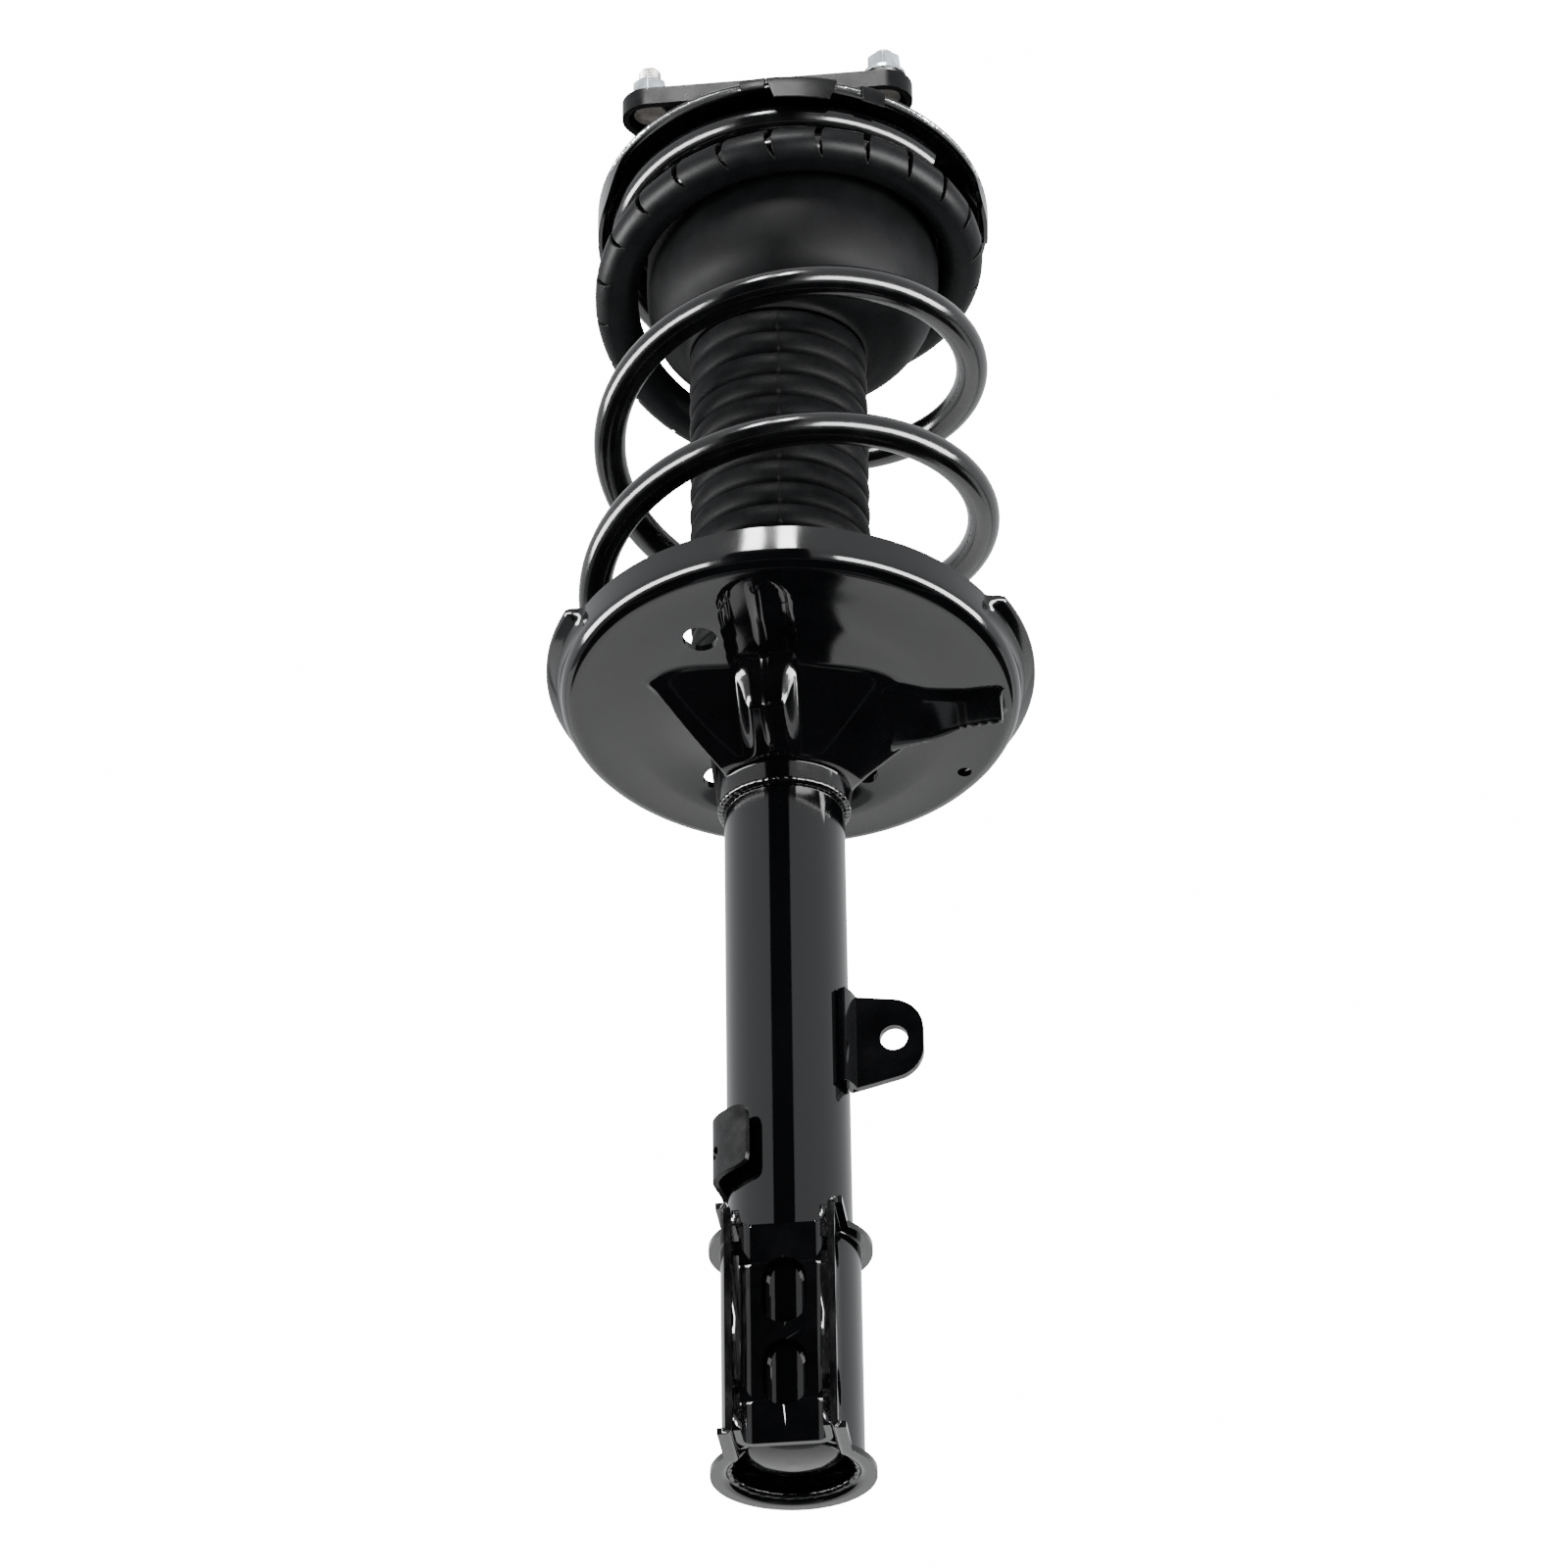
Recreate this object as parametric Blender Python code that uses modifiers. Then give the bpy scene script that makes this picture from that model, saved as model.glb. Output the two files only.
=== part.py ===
"""Front suspension strut assembly with coil spring, top mount and knuckle bracket.

Metres, +Z up along the damper axis. The origin is the centre of the mount plate's
top face. -Y is the side that faces the wheel, where the knuckle ears point.
Every driving dimension below is in millimetres.
"""

import math

import bmesh
import bpy
from mathutils import Matrix, Vector

MM = 0.001
GAP = 0.3

# Top mount
STUD_CIRCLE_R = 61.0
STUD_ANGLES = {"front_left": 210.0, "front_right": 330.0, "rear": 90.0}
STUD_R = 5.0
STUD_HEAD_R = 7.5
STUD_TOP = 18.0
PLATE_CORNER_R = 12.5
PLATE_SHEET = 3.0
PLATE_RIM = 9.0
PLATE_BORE_R = 20.0
NUT_FLATS = 14.0
NUT_FLANGE_R = 9.8
NUT_HEIGHT = 11.0
NUT_LIFT = {"front_left": 0.0, "front_right": 4.0, "rear": 0.0}
CUP_R = 36.0
CUP_FLANGE_R = 39.0
CUP_SHEET = 2.5
CUP_DEPTH = 24.0
CUP_BORE_R = 24.0
SLEEVE_R = 14.2
BEARING_TOP = -6.0
BEARING_BOTTOM = -19.0
BALL_R = 4.0
BALL_CIRCLE_R = 17.0
BALL_COUNT = 8
OUTER_RACE_BORE_R = 19.8
OUTER_RACE_R = 26.0

# Spring axis: it leans back towards the top and crosses the damper axis
SPRING_X = 5.9
SPRING_CROSS_Z = -150.0
SPRING_TILT = math.radians(8.5)
UPPER_TILT = SPRING_TILT
LOWER_TILT = math.radians(7.6)

# Upper spring seat
HUB_TOP = -25.5
SEAT_SHEET = 3.0
UPPER_RIM_R = 88.0
UPPER_RIM_Z = -36.8
ROD_THREAD_R = 7.0

# Coil spring
WIRE_R = 7.0
COIL_PITCH = 88.4
COIL_FIRST_TURN = -2.16
COIL_LAST_TURN = 2.46
COIL_UPPER_SEAT = -47.5
COIL_LOWER_SEAT = -305.6
COIL_RADII = ((-2.2, 75.0), (-1.0, 75.6), (-0.6, 80.0), (0.0, 78.9), (1.0, 84.0), (2.5, 84.0))
END_COIL_RISE = 16.0

# Isolator and dome
SLEEVE_FIRST_TURN = -1.45
SLEEVE_LAST_TURN = -0.58
RUBBER = 2.0
DOME_R = 65.0
DOME_BOTTOM = -121.0

# Dust boot
BOOT_R = 39.2
BOOT_GROOVE_R = 37.2
BOOT_BORE_R = 34.0
BOOT_TOP = -121.5
BOOT_PITCH = 11.2
BOOT_FOLDS = 15

# Damper
ROD_R = 10.0
ROD_BOTTOM = -322.0
TUBE_R = 25.5
TUBE_BORE_R = 23.4
TUBE_TOP = -262.0
TUBE_BOTTOM = -653.0
CYLINDER_R = 17.6
CYLINDER_BORE_R = 16.0
GUIDE_BOTTOM = -284.0
PISTON_TOP = -300.0
BUMP_STOP_R = 22.0
BUMP_STOP_BOTTOM = -98.0

# Lower spring seat
LOWER_X = 5.9
LOWER_Y = -25.0
LOWER_CORNER_R = 97.3
LOWER_FLOOR_Z = -319.0
LOWER_WALL = 20.0
LOWER_LIP = 6.2
LIP_FIRST_ANGLE = 334.0
LIP_LAST_ANGLE = 209.0
NECK_BOTTOM = -353.0

# Knuckle bracket
BRACKET_TOP = -558.0
BRACKET_BOTTOM = -659.0
BRACKET_SHEET = 3.0
EAR_X = 19.4
EAR_REACH = 45.0
LIP_FLARE = 4.6
WEB_Y = 26.0
WEB_TOP = -561.0
WEB_BOTTOM = -655.0
FLANGE_REACH = 42.0
BOLT_HOLE_R = 7.25
BOLT_HOLE_Y = -36.0
BOLT_HOLE_Z = (-578.0, -638.0)
SLOT_Z = (-590.5, -626.5)
SLOT_HALF_WIDTH = 7.6
SLOT_HALF_HEIGHT = 13.8

# Hose and sensor brackets
HOSE_Z = -467.7
HOSE_HOLE_X = 44.5
HOSE_HOLE_R = 5.7
HOSE_END_R = 13.0
HOSE_ROOT_HALF = 20.0
HOSE_SHEET = 4.0
SENSOR_Z = -520.0
SENSOR_HEIGHT = 27.0
SENSOR_WIDTH = 22.0
SENSOR_SHEET = 3.0
SENSOR_TURN = math.radians(24.0)
SENSOR_STANDOFF = 29.0
SENSOR_HOLE_R = 2.8

COLOURS = {
    "paint": ((0.012, 0.012, 0.014), 0.22, 0.0),
    "rubber": ((0.018, 0.018, 0.019), 0.62, 0.0),
    "boot_rubber": ((0.014, 0.014, 0.015), 0.75, 0.0),
    "zinc": ((0.62, 0.66, 0.70), 0.28, 1.0),
    "chrome": ((0.66, 0.66, 0.67), 0.1, 1.0),
    "steel": ((0.35, 0.35, 0.36), 0.35, 1.0),
    "foam": ((0.55, 0.45, 0.2), 0.8, 0.0),
    "ptfe": ((0.10, 0.17, 0.15), 0.5, 0.0),
}


# ---------------------------------------------------------------- helpers

def clear_scene():
    for obj in list(bpy.data.objects):
        bpy.data.objects.remove(obj, do_unlink=True)


def collection(name):
    group = bpy.data.collections.new(name)
    bpy.context.scene.collection.children.link(group)
    return group


def material(name):
    found = bpy.data.materials.get(name)
    if found:
        return found
    colour, roughness, metallic = COLOURS[name]
    made = bpy.data.materials.new(name)
    made.use_nodes = True
    shader = made.node_tree.nodes["Principled BSDF"]
    shader.inputs["Base Color"].default_value = (*colour, 1.0)
    shader.inputs["Roughness"].default_value = roughness
    shader.inputs["Metallic"].default_value = metallic
    return made


def add_object(name, mesh, slot):
    obj = bpy.data.objects.new(name, mesh)
    PARTS.objects.link(obj)
    mesh.materials.append(material(slot))
    return obj


def from_bmesh(name, shape, slot, closed=True):
    mesh = bpy.data.meshes.new(name)
    if closed:
        bmesh.ops.recalc_face_normals(shape, faces=shape.faces)
    shape.to_mesh(mesh)
    shape.free()
    obj = add_object(name, mesh, slot)
    smooth(obj)
    return obj


def smooth(obj, angle=35.0):
    obj.data.shade_smooth()
    obj.data.set_sharp_from_angle(angle=math.radians(angle))


def turned(name, profile, slot, steps=32, place=(0.0, 0.0, 0.0)):
    """Turn a closed (radius, height) outline about Z; it runs down its outer side."""
    mesh = bpy.data.meshes.new(name)
    points = [(r * MM, 0.0, z * MM) for r, z in profile]
    on_axis = profile[0][0] == 0.0
    count = len(points)
    edges = [(i, i + 1) for i in range(count - 1)]
    if not on_axis:
        edges.append((count - 1, 0))
    mesh.from_pydata(points, edges, [])
    obj = add_object(name, mesh, slot)
    obj.location = Vector(place) * MM
    screw = obj.modifiers.new("Turn", "SCREW")
    screw.steps = steps
    screw.render_steps = steps
    screw.use_merge_vertices = True
    screw.merge_threshold = 0.00001
    screw.use_smooth_shade = True
    return obj


def ring(name, inner, outer, top, bottom, slot, steps=24):
    profile = [(inner, top), (outer, top), (outer, bottom), (inner, bottom)]
    return turned(name, profile, slot, steps)


def bake(obj):
    """Replace an object's mesh by what its modifiers give."""
    bpy.context.view_layer.update()
    graph = bpy.context.evaluated_depsgraph_get()
    mesh = bpy.data.meshes.new_from_object(obj.evaluated_get(graph))
    obj.modifiers.clear()
    obj.data = mesh
    return obj


def combine(obj, other, operation):
    """Cut or join with another object, which then leaves the part."""
    boolean = obj.modifiers.new("Combine", "BOOLEAN")
    boolean.operation = operation
    boolean.solver = "EXACT"
    boolean.object = other
    bake(obj)
    PARTS.objects.unlink(other)
    CUTTERS.objects.link(other)
    other.hide_render = True
    other.display_type = "WIRE"
    return obj


def box(name, size, centre, slot="steel", turn=0.0):
    shape = bmesh.new()
    bmesh.ops.create_cube(shape, size=1.0)
    bmesh.ops.scale(shape, vec=Vector(size) * MM, verts=shape.verts)
    bmesh.ops.rotate(shape, cent=(0, 0, 0), matrix=Matrix.Rotation(turn, 3, "Z"), verts=shape.verts)
    bmesh.ops.translate(shape, vec=Vector(centre) * MM, verts=shape.verts)
    return from_bmesh(name, shape, slot)


def cylinder(name, radius, length, centre, axis="Z", segments=24, slot="steel", turn=0.0):
    shape = bmesh.new()
    bmesh.ops.create_cone(
        shape, cap_ends=True, segments=segments, radius1=radius * MM, radius2=radius * MM, depth=length * MM
    )
    if axis == "X":
        bmesh.ops.rotate(shape, cent=(0, 0, 0), matrix=Matrix.Rotation(math.pi / 2, 3, "Y"), verts=shape.verts)
    if axis == "Y":
        bmesh.ops.rotate(shape, cent=(0, 0, 0), matrix=Matrix.Rotation(math.pi / 2, 3, "X"), verts=shape.verts)
    bmesh.ops.rotate(shape, cent=(0, 0, 0), matrix=Matrix.Rotation(turn, 3, "Z"), verts=shape.verts)
    bmesh.ops.translate(shape, vec=Vector(centre) * MM, verts=shape.verts)
    return from_bmesh(name, shape, slot)


def extruded(name, outline, depth, slot, to_world):
    """Extrude a flat outline of (u, v) points by depth; to_world places each (u, v, t)."""
    shape = bmesh.new()
    near = [shape.verts.new(to_world(u, v, 0.0)) for u, v in outline]
    far = [shape.verts.new(to_world(u, v, depth)) for u, v in outline]
    count = len(outline)
    shape.faces.new(near)
    shape.faces.new(list(reversed(far)))
    for i in range(count):
        j = (i + 1) % count
        shape.faces.new((near[j], near[i], far[i], far[j]))
    return from_bmesh(name, shape, slot)


def arc(centre_u, centre_v, radius, first, last, steps):
    """Points along an arc, angles in degrees."""
    points = []
    for i in range(steps + 1):
        angle = math.radians(first + (last - first) * i / steps)
        points.append((centre_u + radius * math.cos(angle), centre_v + radius * math.sin(angle)))
    return points


def loft(name, stations, slot, segments):
    """Skin a closed chain of rings. A station gives the point at an angle in radians."""
    shape = bmesh.new()
    rings = []
    for station in stations:
        angles = [2.0 * math.pi * i / segments for i in range(segments)]
        rings.append([shape.verts.new(Vector(station(a)) * MM) for a in angles])
    for k in range(len(rings)):
        lower = rings[k]
        upper = rings[(k + 1) % len(rings)]
        for i in range(segments):
            j = (i + 1) % segments
            shape.faces.new((lower[i], lower[j], upper[j], upper[i]))
    return from_bmesh(name, shape, slot)


def tilted_ring(x, y, tilt, blend, radius, height, swell=None, drop=None):
    """A ring that goes from the damper axis (blend 0) to a leaning seat axis (blend 1)."""
    lean = tilt * blend

    def point(angle):
        r = radius + (swell(angle) if swell else 0.0)
        z = height + (drop(angle) if drop else 0.0)
        side = r * math.sin(angle)
        return (
            x * blend + r * math.cos(angle),
            y * blend + side * math.cos(lean),
            z - side * math.sin(lean),
        )

    return point


def ease(value):
    t = min(max(value, 0.0), 1.0)
    return t * t * (3.0 - 2.0 * t)


def spring_y(z):
    """Y of the spring axis at a height."""
    return (z - SPRING_CROSS_Z) * math.tan(SPRING_TILT)


# ---------------------------------------------------------------- coil spring

def coil_radius(turn):
    for (a, ra), (b, rb) in zip(COIL_RADII, COIL_RADII[1:]):
        if turn <= b:
            return ra + (rb - ra) * ease((turn - a) / (b - a))
    return COIL_RADII[-1][1]


def bend(turn, corner, half):
    """A ramp of slope 1 after the corner and 0 before it, rounded over half a width each side."""
    if turn <= corner - half:
        return 0.0
    if turn >= corner + half:
        return turn - corner
    return (turn - corner + half) ** 2 / (4.0 * half)


def coil_height(turn):
    """Height of the spring axis at a turn; turn 0 passes the front of the spring."""
    closed_top = COIL_UPPER_SEAT - END_COIL_RISE * (turn + 2.0)
    steeper = COIL_PITCH - END_COIL_RISE
    first = (SPRING_CROSS_Z - COIL_UPPER_SEAT + 2.0 * END_COIL_RISE) / steeper
    last = (SPRING_CROSS_Z - COIL_LOWER_SEAT) / COIL_PITCH
    return closed_top - steeper * bend(turn, first, 0.2) + COIL_PITCH * bend(turn, last, 0.25)


def coil_point(turn):
    height = coil_height(turn)
    angle = math.radians(-90.0 - 360.0 * turn)
    ring_point = tilted_ring(SPRING_X, spring_y(height), SPRING_TILT, 1.0, coil_radius(turn), height)
    return Vector(ring_point(angle))


def make_spring():
    points_per_turn = 24
    count = int((COIL_LAST_TURN - COIL_FIRST_TURN) * points_per_turn) + 1
    curve = bpy.data.curves.new("coil_spring", "CURVE")
    curve.dimensions = "3D"
    curve.bevel_depth = WIRE_R * MM
    curve.bevel_resolution = 2
    curve.use_fill_caps = True
    spline = curve.splines.new("POLY")
    spline.points.add(count - 1)
    for i in range(count):
        turn = COIL_FIRST_TURN + (COIL_LAST_TURN - COIL_FIRST_TURN) * i / (count - 1)
        spline.points[i].co = (*(coil_point(turn) * MM), 1.0)
    obj = bpy.data.objects.new("coil_spring", curve)
    PARTS.objects.link(obj)
    curve.materials.append(material("paint"))


# ---------------------------------------------------------------- top mount

def stud_place(angle):
    a = math.radians(angle)
    return (STUD_CIRCLE_R * math.cos(a), STUD_CIRCLE_R * math.sin(a))


def make_mount_plate():
    outline = []
    for angle in sorted(STUD_ANGLES.values()):
        x, y = stud_place(angle)
        outline += arc(x, y, PLATE_CORNER_R, angle - 60.0, angle + 60.0, 8)
    shape = bmesh.new()
    top = [shape.verts.new((x * MM, y * MM, 0.0)) for x, y in outline]
    low = [shape.verts.new((x * MM, y * MM, -PLATE_RIM * MM)) for x, y in outline]
    shape.faces.new(top)
    for i in range(len(top)):
        j = (i + 1) % len(top)
        shape.faces.new((top[j], top[i], low[i], low[j]))
    plate = from_bmesh("mount_plate", shape, "paint", closed=False)
    sheet = plate.modifiers.new("Sheet", "SOLIDIFY")
    sheet.thickness = PLATE_SHEET * MM
    sheet.offset = -1.0
    sheet.use_even_offset = True
    bake(plate)
    combine(plate, cylinder("bore_cutter", PLATE_BORE_R, 20.0, (0, 0, 0), segments=32), "DIFFERENCE")
    for label, angle in STUD_ANGLES.items():
        x, y = stud_place(angle)
        cutter = cylinder("stud_cutter_" + label, STUD_R + GAP, 20.0, (x, y, 0.0), segments=16)
        combine(plate, cutter, "DIFFERENCE")
    smooth(plate)


def make_studs_and_nuts():
    head_top = -PLATE_SHEET - GAP
    for label, angle in STUD_ANGLES.items():
        x, y = stud_place(angle)
        stud = [
            (0.0, STUD_TOP),
            (STUD_R - 1.4, STUD_TOP),
            (STUD_R, STUD_TOP - 1.4),
            (STUD_R, head_top),
            (STUD_HEAD_R, head_top),
            (STUD_HEAD_R, head_top - 3.0),
            (0.0, head_top - 3.0),
        ]
        turned("mount_stud_" + label, stud, "zinc", 16, (x, y, 0.0))
        base = GAP + NUT_LIFT[label]
        make_flange_nut("flange_nut_" + label, x, y, base)


def make_flange_nut(name, x, y, base):
    bore = STUD_R + GAP
    corner = NUT_FLATS / math.sqrt(3.0)
    flange = [
        (0.0, base + 4.5),
        (corner * 0.8, base + 4.5),
        (NUT_FLANGE_R, base + 1.6),
        (NUT_FLANGE_R, base),
        (0.0, base),
    ]
    nut = turned(name, flange, "zinc", 18, (x, y, 0.0))
    bake(nut)
    middle = base + 1.0 + (NUT_HEIGHT - 1.0) / 2.0
    prism = cylinder(name + "_hex", corner, NUT_HEIGHT - 1.0, (x, y, middle), segments=6)
    dome = [(0.0, NUT_HEIGHT), (5.6, NUT_HEIGHT), (corner + 0.6, NUT_HEIGHT - 2.2), (corner + 0.6, 0.0), (0.0, 0.0)]
    trim = turned(name + "_chamfer", dome, "zinc", 18, (x, y, base))
    combine(prism, trim, "INTERSECT")
    combine(nut, prism, "UNION")
    combine(nut, cylinder(name + "_bore", bore, 40.0, (x, y, base), segments=12), "DIFFERENCE")
    smooth(nut)


def make_mount_core():
    under = -PLATE_SHEET - GAP
    cup = [
        (CUP_R - CUP_SHEET, under),
        (CUP_FLANGE_R, under),
        (CUP_FLANGE_R, under - CUP_SHEET),
        (CUP_R, under - CUP_SHEET),
        (CUP_R, -CUP_DEPTH + 2.0),
        (CUP_R - 2.0, -CUP_DEPTH),
        (CUP_BORE_R, -CUP_DEPTH),
        (CUP_BORE_R, -CUP_DEPTH + CUP_SHEET),
        (CUP_R - CUP_SHEET, -CUP_DEPTH + CUP_SHEET),
    ]
    turned("mount_lower_cup", cup, "paint", 28)
    rubber_r = CUP_R - CUP_SHEET - GAP
    rubber_low = -CUP_DEPTH + CUP_SHEET + GAP
    rubber = [
        (OUTER_RACE_R - 4.0, under - GAP),
        (rubber_r, under - GAP),
        (rubber_r, rubber_low),
        (OUTER_RACE_R - 4.0, rubber_low),
        (OUTER_RACE_R - 4.0, BEARING_BOTTOM - GAP),
        (OUTER_RACE_R + GAP, BEARING_BOTTOM - GAP),
        (OUTER_RACE_R + GAP, BEARING_TOP + GAP),
        (OUTER_RACE_R - 4.0, BEARING_TOP + GAP),
    ]
    turned("mount_rubber", rubber, "rubber", 20)
    middle = (BEARING_TOP + BEARING_BOTTOM) / 2.0
    outer_groove = BALL_CIRCLE_R + BALL_R + GAP
    outer_race = [
        (OUTER_RACE_BORE_R, BEARING_TOP),
        (OUTER_RACE_R, BEARING_TOP),
        (OUTER_RACE_R, BEARING_BOTTOM),
        (OUTER_RACE_BORE_R, BEARING_BOTTOM),
        (OUTER_RACE_BORE_R, middle - 3.2),
        (outer_groove, middle - 1.4),
        (outer_groove, middle + 1.4),
        (OUTER_RACE_BORE_R, middle + 3.2),
    ]
    turned("bearing_outer_race", outer_race, "steel", 20)
    inner_groove = BALL_CIRCLE_R - BALL_R - GAP
    inner_race = [
        (ROD_THREAD_R + GAP, -GAP),
        (SLEEVE_R - 3.0, -GAP),
        (SLEEVE_R - 3.0, BEARING_TOP),
        (SLEEVE_R, BEARING_TOP),
        (SLEEVE_R, middle + 3.2),
        (inner_groove, middle + 1.4),
        (inner_groove, middle - 1.4),
        (SLEEVE_R, middle - 3.2),
        (SLEEVE_R, HUB_TOP + GAP),
        (ROD_THREAD_R + GAP, HUB_TOP + GAP),
    ]
    turned("bearing_inner_sleeve", inner_race, "steel", 16)
    cage = ring("ball_cage", SLEEVE_R + 0.9, OUTER_RACE_BORE_R - 0.9, middle + 1.5, middle - 1.5, "steel", 24)
    bake(cage)
    for i in range(BALL_COUNT):
        a = 2.0 * math.pi * (i + 0.5) / BALL_COUNT
        shape = bmesh.new()
        bmesh.ops.create_icosphere(shape, subdivisions=1, radius=BALL_R * MM)
        place = Vector((BALL_CIRCLE_R * math.cos(a), BALL_CIRCLE_R * math.sin(a), middle)) * MM
        bmesh.ops.translate(shape, vec=place, verts=shape.verts)
        combine(cage, from_bmesh("ball_" + str(i), shape, "steel"), "UNION")
    smooth(cage)


# ---------------------------------------------------------------- rod and its hardware

def make_rod():
    shoulder = HUB_TOP - SEAT_SHEET - GAP
    rod = [
        (0.0, 17.0),
        (ROD_THREAD_R - 1.2, 17.0),
        (ROD_THREAD_R, 15.8),
        (ROD_THREAD_R, shoulder),
        (ROD_R, shoulder),
        (ROD_R, PISTON_TOP + GAP),
        (6.0, PISTON_TOP + GAP),
        (6.0, ROD_BOTTOM),
        (0.0, ROD_BOTTOM),
    ]
    turned("piston_rod", rod, "chrome", 20)
    ring("rod_washer", ROD_THREAD_R + GAP, 17.0, 2.3, 0.0, "zinc", 24)
    nut = cylinder("rod_top_nut", 12.7, 10.5, (0, 0, 2.6 + 5.25), segments=6, slot="zinc")
    combine(nut, cylinder("rod_nut_bore", ROD_THREAD_R + GAP, 30.0, (0, 0, 8.0), segments=24), "DIFFERENCE")
    smooth(nut)
    cup_top = shoulder - GAP
    bump_cup = [
        (ROD_R + GAP, cup_top - 3.0),
        (BUMP_STOP_R + 2.0, cup_top - 3.0),
        (BUMP_STOP_R + 3.5, cup_top - 4.5),
        (BUMP_STOP_R + 3.5, cup_top - 14.0),
        (BUMP_STOP_R + 2.0, cup_top - 14.0),
        (BUMP_STOP_R + 2.0, cup_top - 5.0),
        (ROD_R + GAP, cup_top - 5.0),
    ]
    turned("bump_stop_cup", bump_cup, "steel", 20)
    top = cup_top - 5.0 - GAP
    bore = ROD_R + GAP
    waist = BUMP_STOP_R - 3.5
    length = top - BUMP_STOP_BOTTOM
    bump = [
        (bore, top),
        (BUMP_STOP_R, top),
        (BUMP_STOP_R, top - length * 0.25),
        (waist, top - length * 0.35),
        (BUMP_STOP_R - 1.0, top - length * 0.48),
        (BUMP_STOP_R - 1.0, top - length * 0.58),
        (waist - 1.0, top - length * 0.68),
        (BUMP_STOP_R - 4.0, top - length * 0.8),
        (bore + 2.5, BUMP_STOP_BOTTOM),
        (bore, BUMP_STOP_BOTTOM),
    ]
    turned("bump_stop", bump, "foam", 20)


def make_piston():
    ring("rebound_stop", ROD_R + GAP, 14.5, GUIDE_BOTTOM - 1.3, GUIDE_BOTTOM - 9.0, "rubber", 24)
    bore = 6.0 + GAP
    face = CYLINDER_BORE_R - 1.2
    piston = [
        (bore, PISTON_TOP),
        (face, PISTON_TOP),
        (face, PISTON_TOP - 2.0),
        (face - 1.0, PISTON_TOP - 2.0),
        (face - 1.0, PISTON_TOP - 12.0),
        (face, PISTON_TOP - 12.0),
        (face, PISTON_TOP - 14.0),
        (bore, PISTON_TOP - 14.0),
    ]
    turned("piston", piston, "steel", 20)
    ring("piston_band", face - 0.7, CYLINDER_BORE_R - GAP, PISTON_TOP - 2.3, PISTON_TOP - 11.7, "ptfe", 24)
    valve_top = PISTON_TOP - 14.0 - GAP
    ring("piston_valve_plate", bore, 11.5, valve_top, valve_top - 1.6, "steel", 24)
    nut_top = valve_top - 1.6 - GAP
    nut = cylinder("piston_nut", 9.6, 5.0, (0, 0, nut_top - 2.5), segments=6, slot="steel")
    combine(nut, cylinder("piston_nut_bore", bore, 20.0, (0, 0, nut_top), segments=24), "DIFFERENCE")
    smooth(nut)


# ---------------------------------------------------------------- upper seat, isolator, boot

def upper_ring(blend, radius, height, swell=None, drop=None):
    return tilted_ring(SPRING_X, spring_y(height), UPPER_TILT, blend, radius, height, swell, drop)


def skirt(angle):
    """Depth of the rim's turned-down skirt: a tongue on the left, a short one on the right."""
    degrees = math.degrees(angle) % 360.0
    left = ease((degrees - 165.0) / 8.0) * (1.0 - ease((degrees - 200.0) / 22.0))
    right = ease((degrees - 344.0) / 8.0) if degrees > 180.0 else 1.0 - ease((degrees - 8.0) / 6.0)
    return -10.0 * left - 6.0 * right


def make_upper_seat():
    bore = ROD_THREAD_R + GAP
    under = HUB_TOP - SEAT_SHEET
    z = UPPER_RIM_Z
    stations = [
        upper_ring(0.0, bore, HUB_TOP),
        upper_ring(0.0, 20.0, HUB_TOP),
        upper_ring(0.5, 40.0, -31.5),
        upper_ring(1.0, 62.0, z + 3.0),
        upper_ring(1.0, UPPER_RIM_R - 2.0, z + 3.0),
        upper_ring(1.0, UPPER_RIM_R, z + 1.5),
        upper_ring(1.0, UPPER_RIM_R, z - 2.5, None, skirt),
        upper_ring(1.0, UPPER_RIM_R - 2.4, z - 2.5, None, skirt),
        upper_ring(1.0, UPPER_RIM_R - 2.6, z),
        upper_ring(1.0, 62.0, z),
        upper_ring(0.5, 40.0, -34.5),
        upper_ring(0.0, 20.0, under),
        upper_ring(0.0, bore, under),
    ]
    loft("upper_spring_seat", stations, "paint", 40)


def wire_section(turn, polar, reach):
    """A point beside the wire: polar is in degrees, 0 outwards, -90 below; reach from its centre."""
    height = coil_height(turn)
    angle = math.radians(-90.0 - 360.0 * turn)
    out = reach * math.cos(math.radians(polar))
    rise = reach * math.sin(math.radians(polar))
    base = tilted_ring(SPRING_X, spring_y(height), SPRING_TILT, 1.0, coil_radius(turn) + out, height)
    along = Vector((0.0, math.sin(SPRING_TILT), math.cos(SPRING_TILT)))
    return Vector(base(angle)) + along * rise


def make_isolator():
    """A rubber channel that cups the second turn of the wire from below."""
    bore = WIRE_R + 0.9
    skin = bore + RUBBER
    outer = [(25.0 - 230.0 * i / 7.0, skin) for i in range(8)]
    inner = [(-205.0 + 230.0 * i / 7.0, bore) for i in range(8)]
    section = outer + inner
    steps = 30
    shape = bmesh.new()
    rings = []
    for i in range(steps + 1):
        turn = SLEEVE_FIRST_TURN + (SLEEVE_LAST_TURN - SLEEVE_FIRST_TURN) * i / steps
        rings.append([shape.verts.new(wire_section(turn, polar, reach) * MM) for polar, reach in section])
    count = len(section)
    for first, second in zip(rings, rings[1:]):
        for i in range(count):
            j = (i + 1) % count
            shape.faces.new((first[i], first[j], second[j], second[i]))
    half = count // 2
    for end in (rings[0], rings[-1]):
        for i in range(half - 1):
            shape.faces.new((end[i], end[i + 1], end[count - 2 - i], end[count - 1 - i]))
    from_bmesh("upper_isolator", shape, "rubber")


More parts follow.
